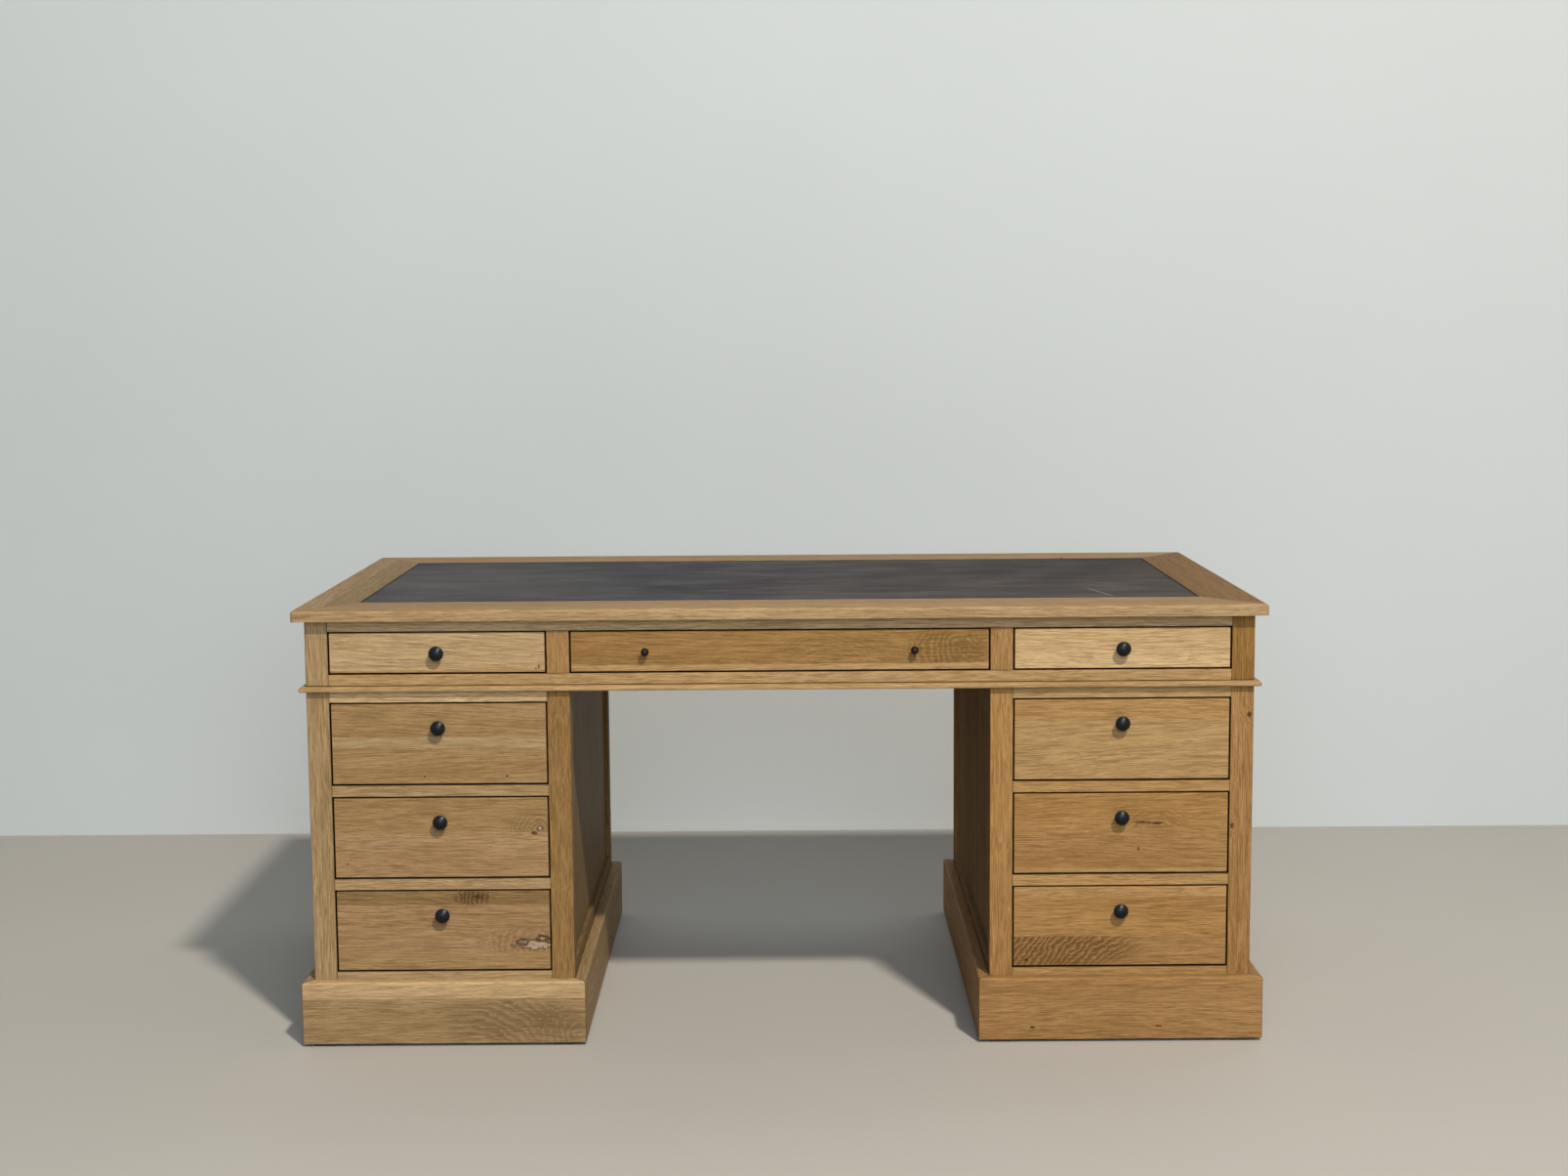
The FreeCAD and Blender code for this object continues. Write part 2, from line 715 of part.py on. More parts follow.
def make_glides_and_loose_tenons():
    """The pads under the pedestals' corners, and the loose tenons that hold the frieze on them."""
    half_width = side_face + size.plinth_thickness
    half_depth = front_face + size.plinth_thickness
    inner_side = kneehole_side - size.plinth_thickness
    half_pad = size.glide_width / 2
    glide_x = (half_width - size.glide_side_inset, inner_side + size.glide_side_inset)
    glides, tenons = [], []
    for place, x, post_x in (("outer", glide_x[0], outer_post_middle),
                             ("inner", glide_x[1], inner_post_middle)):
        for ending, end in (("front", -1), ("back", 1)):
            y = (half_depth - size.glide_end_inset) * end
            glide = board(f"glide_{place}_{ending}", (x - half_pad, x + half_pad),
                          (y - half_pad, y + half_pad), (0, size.glide_height))
            tenon = board(f"loose_tenon_{place}_{ending}", *loose_tenon_span(post_x, end, 0),
                          (frieze_low - size.loose_tenon_length / 2,
                           frieze_low + size.loose_tenon_length / 2))
            glides += [glide, mirror(f"{glide.Name}_left", glide)]
            tenons += [tenon, mirror(f"{tenon.Name}_left", tenon)]
    node("glides", glides)
    node("loose_tenons", tenons)


def turned(name, outline, widest):
    """A piece turned about its own Y axis, from an outline of radius and place along the axis. It
    has flats all round, which keep it light: it is what its silhouettes from all sides share."""
    silhouette = new_body(f"{name}_silhouette")
    other_side = [(-radius, place) for radius, place in reversed(outline)]
    reach = widest + size.overrun
    pad(silhouette, f"{name}_profile", "z", outline + other_side, -reach, reach)
    views = []
    for turn in range(FLATS // 2):
        view = doc.addObject("Part::Compound", f"{name}_view_{turn}")
        view.Links = [silhouette]
        view.Placement.Rotation = Rotation(Vector(0, 1, 0), 360 / FLATS * turn)
        views.append(view)
    piece = doc.addObject("Part::MultiCommon", name)
    piece.Shapes = views
    return piece


def make_knob():
    """The domed knob: a foot, a narrow neck that flares to a thin rim, and a domed face."""
    foot = size.knob_foot_diameter / 2
    neck = size.knob_neck_diameter / 2
    rim = size.knob_diameter / 2
    rim_high = size.knob_rim_low + size.knob_rim_thickness
    rise = (size.knob_projection - rim_high) / (1 - DOME_SHARES[-1] ** 2)
    dome = [(rim * share, -rim_high - rise * (1 - share ** 2)) for share in DOME_SHARES]
    outline = [
        (foot, 0), (foot, -size.knob_foot_thickness),
        (neck, -size.knob_foot_thickness - (foot - neck)), (neck, -size.knob_neck_length),
        (rim, -size.knob_rim_low), (rim, -rim_high), *dome]
    return turned("domed_knob", outline, rim)


def make_small_knob():
    """The ball knob of the centre drawer, on a small foot."""
    foot = size.small_knob_foot_diameter / 2
    neck = size.small_knob_neck_diameter / 2
    ball = size.small_knob_diameter / 2
    steepest = math.sin(math.radians(BALL_ANGLES[-1]))
    middle = size.small_knob_projection - ball * steepest
    round_ball = []
    for angle in BALL_ANGLES:
        across, along = math.cos(math.radians(angle)), math.sin(math.radians(angle))
        round_ball.append((ball * across, -middle - ball * along))
    outline = [
        (foot, 0), (foot, -size.small_knob_foot_thickness),
        (neck, -size.small_knob_foot_thickness - (foot - neck)), *round_ball]
    return turned("ball_knob", outline, ball)


class DrawerKind:
    """One size of drawer, drawn in its own frame: X = 0 is its middle, Y = 0 the face of the front
    and Z = 0 the bottom of its opening."""

    def __init__(self, name, width, height, tails, knobs):
        self.name = name
        self.height = height
        self.tails = tails
        self.knobs = knobs
        self.half = width / 2 - size.front_gap
        self.inner = self.half - size.drawer_side_thickness
        self.top = height - size.front_gap
        self.side_top = self.top - size.drawer_side_drop
        self.pitch = (self.side_top - size.running_gap) / tails
        self.bottom_low = size.drawer_bottom_lift + size.running_gap
        self.bottom_high = self.bottom_low + size.drawer_bottom_thickness

    def tail_outline(self, tip, shoulder):
        """A socket for the lowest tail: wide at the tip, narrow at the shoulder and open past it."""
        outward = 1 if terms(shoulder)[0] > terms(tip)[0] else -1
        middle = size.running_gap + self.pitch / 2
        narrow = self.pin_half(tip, shoulder)
        wide = size.dovetail_pin_width / 2
        at_tip = self.pitch / 2 - wide + size.glue_gap
        at_shoulder = self.pitch / 2 - narrow + size.glue_gap
        past = shoulder + size.overrun * outward
        return [(tip, middle - at_tip), (shoulder, middle - at_shoulder), (past, middle - at_shoulder),
                (past, middle + at_shoulder), (shoulder, middle + at_shoulder), (tip, middle + at_tip)]

    def pin_outline(self, tip, shoulder):
        """The gap between two tails, where a pin goes, about the lower edge of the side."""
        outward = 1 if terms(tip)[0] > terms(shoulder)[0] else -1
        low = size.running_gap
        at_tip = size.dovetail_pin_width / 2
        at_shoulder = self.pin_half(tip, shoulder)
        past = tip + size.overrun * outward
        return [(shoulder, low - at_shoulder), (tip, low - at_tip), (past, low - at_tip),
                (past, low + at_tip), (tip, low + at_tip), (shoulder, low + at_shoulder)]

    def pin_half(self, tip, shoulder):
        """Half of a pin's width at the tails' shoulder."""
        length = in_order(tip, shoulder)[1] - in_order(tip, shoulder)[0]
        return size.dovetail_pin_width / 2 + length * size.dovetail_slope_share

    def make_front(self):
        name = f"{self.name}_front"
        front = new_body(name)
        thickness = size.drawer_front_thickness
        pad(front, f"{name}_block", "y", rectangle((-self.half, self.half), (size.front_gap, self.top)),
            0, thickness)
        round_edges(front, f"{name}_arris", size.drawer_front_round,
                    lambda box: lies_at(box.YMin, box.YMax, 0))
        for way, span in (("right", (self.inner, self.half + size.overrun)),
                          ("left", (-self.half - size.overrun, -self.inner))):
            socket = pocket(front, f"{name}_socket_{way}", "x",
                            self.tail_outline(size.dovetail_lap, thickness), *span)
            repeat_up(front, socket, self.tails, self.pitch)
        groove = self.inner + size.drawer_groove_depth
        pocket(front, f"{name}_groove", "y",
               rectangle((-groove, groove), (self.bottom_low - size.glue_gap,
                                             self.bottom_high + size.glue_gap)),
               thickness - size.drawer_groove_depth, thickness + size.overrun)
        return front

    def make_side(self):
        name = f"{self.name}_side"
        side = new_body(name)
        pad(side, f"{name}_block", "x",
            rectangle((size.dovetail_lap, size.drawer_depth), (size.running_gap, self.side_top)),
            self.inner, self.half)
        shoulders = ((size.dovetail_lap, size.drawer_front_thickness),
                     (size.drawer_depth, size.drawer_depth - size.drawer_back_thickness))
        for number, (tip, shoulder) in enumerate(shoulders):
            gap = pocket(side, f"{name}_gap_{number}", "x", self.pin_outline(tip, shoulder),
                         self.inner - size.overrun, self.half + size.overrun)
            repeat_up(side, gap, self.tails + 1, self.pitch)
        pocket(side, f"{name}_groove", "x",
               rectangle((size.dovetail_lap - size.overrun, size.drawer_depth + size.overrun),
                         (self.bottom_low - size.glue_gap, self.bottom_high + size.glue_gap)),
               self.inner - size.overrun, self.inner + size.drawer_groove_depth)
        return side

    def make_back(self):
        name = f"{self.name}_back"
        back = new_body(name)
        face = size.drawer_depth - size.drawer_back_thickness
        pad(back, f"{name}_block", "y",
            rectangle((-self.half, self.half), (self.bottom_high, self.side_top)),
            face, size.drawer_depth)
        for way, span in (("right", (self.inner, self.half + size.overrun)),
                          ("left", (-self.half - size.overrun, -self.inner))):
            socket = pocket(back, f"{name}_socket_{way}", "x",
                            self.tail_outline(size.drawer_depth, face), *span)
            repeat_up(back, socket, self.tails, self.pitch)
        return back

    def make_bottom(self):
        edge = self.inner + size.drawer_groove_depth - size.panel_edge_gap
        front_edge = size.drawer_front_thickness - size.drawer_groove_depth + size.panel_edge_gap
        return board(f"{self.name}_bottom", (-edge, edge), (front_edge, size.drawer_depth),
                     (self.bottom_low, self.bottom_high))

    def make_box(self):
        side = self.make_side()
        return [side, mirror(f"{self.name}_side_left", side), self.make_back(), self.make_bottom()]


def placed(name, knob, x, z):
    """A knob at a place on a drawer's front."""
    copy = doc.addObject("Part::Compound", name)
    copy.Links = [knob]
    bind(copy, "Placement.Base.x", x)
    bind(copy, "Placement.Base.z", z)
    return copy


def make_drawers():
    """Nine drawers of three kinds, each a front, a dovetailed box and its knobs."""
    frieze_middle = size.frieze_opening_height / 2
    knob_height = pedestal_opening_height - size.knob_drop
    small_knob_x = kneehole_side * size.small_knob_place_share
    centre_knobs = [(small_knob_x, frieze_middle), (-small_knob_x, frieze_middle)]
    kinds = [
        DrawerKind("deep", opening_width, pedestal_opening_height,
                   size.pedestal_drawer_tails, [(0, knob_height)]),
        DrawerKind("shallow", opening_width, size.frieze_opening_height,
                   size.frieze_drawer_tails, [(0, frieze_middle)]),
        DrawerKind("wide", kneehole_side * 2, size.frieze_opening_height,
                   size.frieze_drawer_tails, centre_knobs)]
    domed, ball = make_knob(), make_small_knob()
    rows = [("upper", opening_lows[0]), ("middle", opening_lows[1]), ("lower", opening_lows[2])]
    places = {
        "deep": [(f"{way}_{row}_drawer", side_drawer_middle * sign, level)
                 for way, sign in (("left", -1), ("right", 1)) for row, level in rows],
        "shallow": [("left_top_drawer", -side_drawer_middle, frieze_opening_low),
                    ("right_top_drawer", side_drawer_middle, frieze_opening_low)],
        "wide": [("centre_drawer", 0, frieze_opening_low)],
    }
    stops = []
    for kind in kinds:
        front, box = kind.make_front(), kind.make_box()
        knob = ball if kind.name == "wide" else domed
        knobs = [placed(f"{kind.name}_knob_{number}", knob, x, z)
                 for number, (x, z) in enumerate(kind.knobs)]
        for name, x, level in places[kind.name]:
            spot = {"x": x, "y": -front_face, "z": level}
            node(f"{name}_front", [front], **spot)
            node(f"{name}_box", box, **spot)
            node(f"{name}_knobs" if len(knobs) > 1 else f"{name}_knob", knobs, **spot)
            for way, sign in (("left", -1), ("right", 1)):
                middle = kind.half * 2 * size.stop_place_share * sign + x
                stops.append(board(
                    f"{name}_stop_{way}", (middle - size.stop_width / 2, middle + size.stop_width / 2),
                    (-front_face + size.drawer_front_thickness + size.running_gap, behind_posts),
                    (level, level + size.stop_height)))
    node("drawer_stops", stops)


make_top()
make_frieze()
make_bead()
make_pedestal()
make_glides_and_loose_tenons()
make_drawers()
doc.recompute()

failed = [thing.Name for thing in doc.Objects if {"Invalid", "Error"} & set(thing.State)]
if failed:
    raise RuntimeError(f"These did not build: {failed}")
for feature in doc.Objects:
    if feature.TypeId == "PartDesign::Pocket":
        if feature.Shape.Volume >= feature.BaseFeature.Shape.Volume:
            raise RuntimeError(f"{feature.Name} cuts nothing")
for part in nodes:
    if part.Shape.isNull() or not part.Shape.isValid():
        raise RuntimeError(f"{part.Label} has no sound shape")
os.makedirs("parts", exist_ok=True)
for part in nodes:
    part.Shape.exportStep(f"parts/{part.Label}.step")
print(f"{len(nodes)} parts, {sum(len(part.Shape.Solids) for part in nodes)} solids")
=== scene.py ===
import json
import math
import random

import bmesh
import bpy
from bpy.props import FloatProperty, FloatVectorProperty, PointerProperty
from mathutils import Matrix, Vector


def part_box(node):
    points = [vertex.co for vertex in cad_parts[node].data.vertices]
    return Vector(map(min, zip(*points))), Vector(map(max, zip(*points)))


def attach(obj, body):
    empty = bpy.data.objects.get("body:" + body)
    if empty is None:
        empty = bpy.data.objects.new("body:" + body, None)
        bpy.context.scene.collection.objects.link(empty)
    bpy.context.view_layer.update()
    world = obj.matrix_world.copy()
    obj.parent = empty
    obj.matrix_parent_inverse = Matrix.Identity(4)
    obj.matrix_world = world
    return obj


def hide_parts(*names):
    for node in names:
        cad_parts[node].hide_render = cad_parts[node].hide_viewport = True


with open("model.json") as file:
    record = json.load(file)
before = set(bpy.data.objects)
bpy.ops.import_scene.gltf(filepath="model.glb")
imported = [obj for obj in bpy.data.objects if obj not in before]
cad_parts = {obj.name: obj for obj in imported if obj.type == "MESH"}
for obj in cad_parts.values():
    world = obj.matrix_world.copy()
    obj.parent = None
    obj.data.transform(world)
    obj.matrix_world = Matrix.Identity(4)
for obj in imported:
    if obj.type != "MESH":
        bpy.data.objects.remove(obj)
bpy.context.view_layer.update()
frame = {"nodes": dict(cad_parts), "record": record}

bl_info = {
    "name": "Kneehole Desk Finish",
    "version": (1, 0, 0),
    "blender": (4, 5, 0),
    "location": "3D Viewport > Sidebar > Desk",
    "description": "Dresses the packed oak kneehole desk: eased boards, grain, leather, turned knobs",
    "category": "Object",
}

BODIES = frame["record"]["behaviour"]["bodies"]
BODY_OF = {node: body for body, nodes in BODIES.items() for node in nodes}
KNOB_NODES = sorted(node for node in BODY_OF if node.endswith(("_knob", "_knobs")))
# Corners nearer than this are one, in metres
MERGE = 1e-5

# Tints of the boards, each a factor on the oak's colour: partly the boards' own tones and partly
# painted light, cooler on the left and warmer on the right, with painted shade in the shade tone, for
# faces inside the openings and along the bead, and in the dusk and umber tones of the kneehole's sides
TONES = {
    "ivory": (1.47, 1.58, 1.8),
    "cream": (1.28, 1.4, 1.65),
    "pale": (1.13, 1.2, 1.36),
    "wheat": (1.165, 1.17, 1.17),
    "straw": (1.12, 1.1, 1.04),
    "fair": (1.04, 1.11, 1.22),
    "flax": (0.99, 1.01, 1.03),
    "rose": (1.03, 1.01, 1.08),
    "plain": (0.955, 0.94, 0.93),
    "ashen": (0.93, 0.97, 1.03),
    "golden": (1.12, 1.035, 0.905),
    "amber": (1.05, 0.92, 0.72),
    "honey": (0.97, 0.855, 0.72),
    "toast": (0.86, 0.77, 0.6),
    "brown": (0.75, 0.72, 0.68),
    "dun": (0.72, 0.77, 0.76),
    "russet": (0.79, 0.72, 0.59),
    "tan": (0.62, 0.51, 0.3),
    "hazel": (0.8, 0.68, 0.47),
    "bark": (0.58, 0.47, 0.26),
    "dusk": (0.58, 0.6, 0.56),
    "umber": (0.71, 0.74, 0.9),
    "end": (0.5, 0.45, 0.38),
    "shade": (0.14, 0.115, 0.065),
}

# The staves of each drawer front, from the bottom: height share, tone, figure
STAVES = {
    "left_upper": [(0.45, "plain", 0.3), (0.585, "fair", 0.1), (1.0, "plain", 0.35)],
    "left_middle": [(0.56, "rose", 0.3), (1.0, "plain", 0.6)],
    "left_lower": [(0.22, "plain", 0.2), (0.83, "rose", 0.6), (1.0, "brown", 0.7)],
    "right_upper": [(0.74, "straw", 0.3), (1.0, "golden", 0.35)],
    "right_middle": [(0.055, "straw", 0.1), (0.56, "honey", 0.3), (1.0, "amber", 0.6)],
    "right_lower": [(0.37, "honey", 0.8), (0.87, "amber", 0.3), (1.0, "golden", 0.1)],
    "left_top": [(0.055, "golden", 0.2), (1.0, "cream", 0.3)],
    "right_top": [(1.0, "ivory", 0.3)],
    "centre": [(0.157, "wheat", 0.1), (1.0, "toast", 0.7)],
}


class DeskOakSettings(bpy.types.PropertyGroup):
    """The oak's colours and its eased edges."""

    light: FloatVectorProperty(
        name="Light Wood", description="Colour of the late wood between the rings",
        subtype="COLOR", min=0, max=1, default=(0.35, 0.226, 0.108))
    middle: FloatVectorProperty(
        name="Middle Wood", description="Colour that most of the face has",
        subtype="COLOR", min=0, max=1, default=(0.292, 0.178, 0.078))
    deep: FloatVectorProperty(
        name="Deep Wood", description="Colour of the rings' dark lines and of the pores",
        subtype="COLOR", min=0, max=1, default=(0.15, 0.084, 0.034))
    inner: FloatVectorProperty(
        name="Inner Wood", description="Colour of the unfinished wood inside",
        subtype="COLOR", min=0, max=1, default=(0.4, 0.285, 0.165))
    arris: FloatProperty(
        name="Arris", description="Width that the boards' sharp edges are eased by",
        subtype="DISTANCE", unit="LENGTH", min=0.0001, max=0.002, default=0.0008)
    seam: FloatProperty(
        name="Seam Shade", description="How much of its light the wood keeps in the eased joints",
        subtype="FACTOR", min=0, max=1, default=0.3)
    ring_spacing: FloatProperty(
        name="Ring Spacing", description="Distance between one year's ring and the next",
        subtype="DISTANCE", unit="LENGTH", min=0.001, max=0.01, default=0.0042)
    gloss: FloatProperty(
        name="Roughness", description="Roughness of the oiled surface",
        subtype="FACTOR", min=0, max=1, default=0.46)


class DeskLeatherSettings(bpy.types.PropertyGroup):
    """The leather of the writing surface."""

    colour: FloatVectorProperty(
        name="Leather", description="Colour of the leather",
        subtype="COLOR", min=0, max=1, default=(0.043, 0.043, 0.044))
    worn: FloatVectorProperty(
        name="Worn Leather", description="Colour where the leather is rubbed pale",
        subtype="COLOR", min=0, max=1, default=(0.115, 0.11, 0.104))
    roughness: FloatProperty(
        name="Roughness", description="Roughness of the leather's finish",
        subtype="FACTOR", min=0, max=1, default=0.72)
    grain: FloatProperty(
        name="Grain", description="Width of one pebble of the leather's grain",
        subtype="DISTANCE", unit="LENGTH", min=0.0005, max=0.01, default=0.0016)


class DeskMetalSettings(bpy.types.PropertyGroup):
    """The knobs and their screws."""

    colour: FloatVectorProperty(
        name="Blackened Metal", description="Colour of the knobs",
        subtype="COLOR", min=0, max=1, default=(0.006, 0.007, 0.009))
    rubbed: FloatVectorProperty(
        name="Rubbed Metal", description="Colour where the blacking has thinned",
        subtype="COLOR", min=0, max=1, default=(0.015, 0.016, 0.018))
    roughness: FloatProperty(
        name="Roughness", description="Roughness of the blackened metal",
        subtype="FACTOR", min=0, max=1, default=0.32)
    ball: FloatVectorProperty(
        name="Browned Metal", description="Colour of the centre drawer's ball knobs",
        subtype="COLOR", min=0, max=1, default=(0.012, 0.005, 0.004))
    screw_head: FloatProperty(
        name="Screw Head", description="Diameter of the knob screws' heads, inside the drawers",
        subtype="DISTANCE", unit="LENGTH", min=0.004, max=0.014, default=0.008)


class DeskStageSettings(bpy.types.PropertyGroup):
    """The plain studio round the desk."""

    floor: FloatVectorProperty(
        name="Floor", description="Colour of the floor",
        subtype="COLOR", min=0, max=1, default=(0.43, 0.41, 0.385))
    wall: FloatVectorProperty(
        name="Backdrop", description="Colour of the backdrop",
        subtype="COLOR", min=0, max=1, default=(0.57, 0.61, 0.635))
    key: FloatProperty(
        name="Key Light", description="Power of the lamp high over the front",
        subtype="POWER", unit="POWER", min=0, max=4000, default=800)
    fill: FloatProperty(
        name="Fill Light", description="Power of the large soft lamp before the desk",
        subtype="POWER", unit="POWER", min=0, max=4000, default=155)
    sky: FloatProperty(
        name="Room Light", description="Strength of the even light from all round",
        subtype="FACTOR", min=0, max=3, default=0.1)


# Shader helpers

def new_node(tree, kind, **settings):
    """A new shader node with its settings."""
    node = tree.nodes.new(kind)
    for name, value in settings.items():
        setattr(node, name, value)
    return node


def shader(name):
    """A new material, its shader node, and where on its part each point lies."""
    material = bpy.data.materials.new(name)
    material.use_nodes = True
    tree = material.node_tree
    place = new_node(tree, "ShaderNodeTexCoord").outputs["Object"]
    return material, tree.nodes["Principled BSDF"], place


def feed(node, inputs):
    """Gives a node its inputs, each a value or another node's output."""
    for name, value in inputs.items():
        if isinstance(value, bpy.types.NodeSocket):
            node.id_data.links.new(value, node.inputs[name])
        else:
            node.inputs[name].default_value = value


def put(kind, inputs, **settings):
    """A shader node with its settings and inputs, beside the nodes that feed it."""
    feeding = [value for value in inputs.values() if isinstance(value, bpy.types.NodeSocket)]
    node = new_node(feeding[0].id_data, kind, **settings)
    feed(node, inputs)
    return node


def sums(operation, one, other=0.0):
    """The output of a sum of two numbers."""
    return put("ShaderNodeMath", {0: one, 1: other}, operation=operation).outputs[0]


def times(one, other):
    return sums("MULTIPLY", one, other)


def plus(one, other):
    return sums("ADD", one, other)


def minus(one, other):
    return sums("SUBTRACT", one, other)


def clamped(number):
    """A number, kept between 0 and 1."""
    return put("ShaderNodeClamp", {0: number}).outputs[0]


def vector_sum(operation, one, other):
    return put("ShaderNodeVectorMath", {0: one, 1: other}, operation=operation).outputs[0]


def length_of(vector):
    return put("ShaderNodeVectorMath", {0: vector}, operation="LENGTH").outputs["Value"]


def parts_of(vector):
    """The three parts of a vector, as outputs."""
    return put("ShaderNodeSeparateXYZ", {0: vector}).outputs


def ramp(source, low, high):
    """The source, stretched so that low gives 0 and high gives 1."""
    inputs = {"Value": source, "From Min": low, "From Max": high}
    return put("ShaderNodeMapRange", inputs, interpolation_type="SMOOTHSTEP").outputs["Result"]


def blended(share, one, other, mode="MIX"):
    """A mix of two colours, each three numbers or another node's output."""
    one, other = (value if isinstance(value, bpy.types.NodeSocket) else (*value, 1.0)
                  for value in (one, other))
    mix = put("ShaderNodeMix", {0: share, 6: one, 7: other}, data_type="RGBA", blend_type=mode)
    return mix.outputs[2]


def toned(colour, factor):
    """A colour, lighter or darker by a factor."""
    return tuple(min(1, part * factor) for part in colour)


def stretched_noise(place, scale, detail=3.0, roughness=0.55, output=0):
    """Noise that is stretched by a different scale each way, in steps per metre."""
    mapped = put("ShaderNodeMapping", {"Vector": place, "Scale": scale}).outputs[0]
    inputs = {"Vector": mapped, "Scale": 1.0, "Detail": detail, "Roughness": roughness}
    return put("ShaderNodeTexNoise", inputs).outputs[output]


def even_noise(place, per_metre, detail=3.0, roughness=0.55):
    return stretched_noise(place, (per_metre,) * 3, detail, roughness)


def wavering(noise, amount):
    """A noise turned into a push to either side."""
    return times(minus(noise, 0.5), amount)


def sway(place, scale, reach):
    """How far the grain wanders from its line, across the board and through it."""
    push = stretched_noise(place, scale, 2.0, output="Color")
    push = vector_sum("SUBTRACT", push, (0.5, 0.5, 0.5))
    return vector_sum("MULTIPLY", push, (0.0, reach, reach))


def bumps(height, strength, depth):
    """The normals of a surface that a height roughens, with its depth in metres."""
    inputs = {"Strength": strength, "Distance": depth, "Height": height}
    return put("ShaderNodeBump", inputs).outputs[0]


def shares_off(place, centre, radii):
    """How far a point lies from a centre in shares of the radii, as a vector and its length."""
    moved = vector_sum("SUBTRACT", place, centre)
    local = vector_sum("MULTIPLY", moved, tuple(1 / radius for radius in radii))
    return local, length_of(local)


# The oak

# The noises of its figure: steps per metre along the grain and twice across it, detail, roughness
FIGURE = {
    "broad": ((1.2, 17, 17), 2.0, 0.55),
    "band": ((4, 130, 130), 3.0, 0.6),
    "dash": ((14, 620, 620), 2.0, 0.5),
    "fine": ((45, 1200, 1200), 2.0, 0.5),
    "pore": ((70, 2600, 2600), 1.0, 0.5),
}
# What marks the wood: its noise, where the mark starts, where it is full, its strength
MARKS = {
    "bands": ("band", 0.44, 0.68, 0.12),
    "pale dashes": ("dash", 0.47, 0.37, 0.5),
    "dashes": ("dash", 0.51, 0.62, 0.56),
    "streaks": ("fine", 0.51, 0.62, 0.46),
    "pores": ("pore", 0.6, 0.72, 0.5),
}
# How the grain wanders: steps per metre, and the reach in metres
DRIFT = ((1.8, 11, 11), 0.026)
RIPPLE = ((16, 45, 45), 0.0022)
RING_STRENGTH = 0.42
RING_WAVER = 2.4
KNOT_DARK, KNOT_BROWN = (0.03, 0.017, 0.009), (0.13, 0.068, 0.03)
FILLING_DARK, FILLING_PALE = (0.27, 0.19, 0.12), (0.43, 0.33, 0.24)
OAK_SHINE = 0.03
INNER_ROUGHNESS = 0.66
INNER_CONTRAST = 0.6
# For parts that carry no place and tint of their own: their place in the tree, and their figure
OFF_HEART, PLAIN_FIGURE = (0.3, 0.06, 0.11), 0.35
# The figures at which the swirls on a stave start to show, and are whole
SWIRL_FIGURE = (0.4, 0.55)


def knot_layers(place, knots):
    """The shares of dark wood and of pale filling at the knots, and how far the grain bends round
    them. Each knot is a centre, its radii, and the share of it that is open inside."""
    wobble = wavering(even_noise(place, 110), 1.5)
    dark = pale = bend = 0.0
    for centre, radii, hollow in knots:
        local, length = shares_off(place, centre, radii)
        ragged = plus(length, wobble)
        core = ramp(ragged, 1.15, 0.75)
        if hollow:
            inside = ramp(ragged, hollow + 0.12, hollow - 0.12)
            core = clamped(minus(core, inside))
            pale = sums("MAXIMUM", inside, pale)
        dark = sums("MAXIMUM", core, dark)
        around = ramp(length, 5.0, 0.0)
        side = sums("SIGN", parts_of(local)[2])
        pull = times(times(around, around), side)
        bend = plus(times(pull, -radii[2] * 1.4), bend)
    return dark, pale, bend


def swirl_lines(place, swirls):
    """The dark lines and the shade of the swirls in the figure. Each swirl is its middle and radii,
    then where its lines' hub lies from the middle, the lines' spacing and their strength."""
    wave = wavering(stretched_noise(place, (24, 24, 34), 3.0, 0.6), 0.03)
    broken = ramp(stretched_noise(place, (70, 70, 190), 3.0, 0.65), 0.18, 0.52)
    lines = shade = 0.0
    for centre, radii, (aside, above, spacing, strength) in swirls:
        near = ramp(shares_off(place, centre, radii)[1], 1.0, 0.5)
        off = vector_sum("SUBTRACT", place, centre + Vector((aside, 0, above)))
        radius = length_of(vector_sum("MULTIPLY", off, (1, 0, 1)))
        saw = sums("FRACT", sums("DIVIDE", plus(radius, wave), spacing))
        line = times(ramp(saw, 0.05, 0.5), ramp(saw, 1.0, 0.78))
        line = times(times(line, broken), near)
        lines = sums("MAXIMUM", times(line, strength), lines)
        shade = sums("MAXIMUM", times(near, strength ** 2 * 0.42), shade)
    return lines, shade


def year_rings(place, spacing):
    """The dark lines of the years' rings round the heart of the tree, which lies along X."""
    radius = length_of(vector_sum("MULTIPLY", place, (0.0, 1.0, 1.0)))
    year = sums("DIVIDE", radius, spacing)
    inputs = {"W": times(year, 0.35), "Detail": 1.0}
    noise = put("ShaderNodeTexNoise", inputs, noise_dimensions="1D").outputs[0]
    season = sums("FRACT", plus(year, times(noise, RING_WAVER)))
    fading = minus(1.0, ramp(season, 0.02, 0.22))
    return sums("MAXIMUM", fading, ramp(season, 0.6, 0.98))


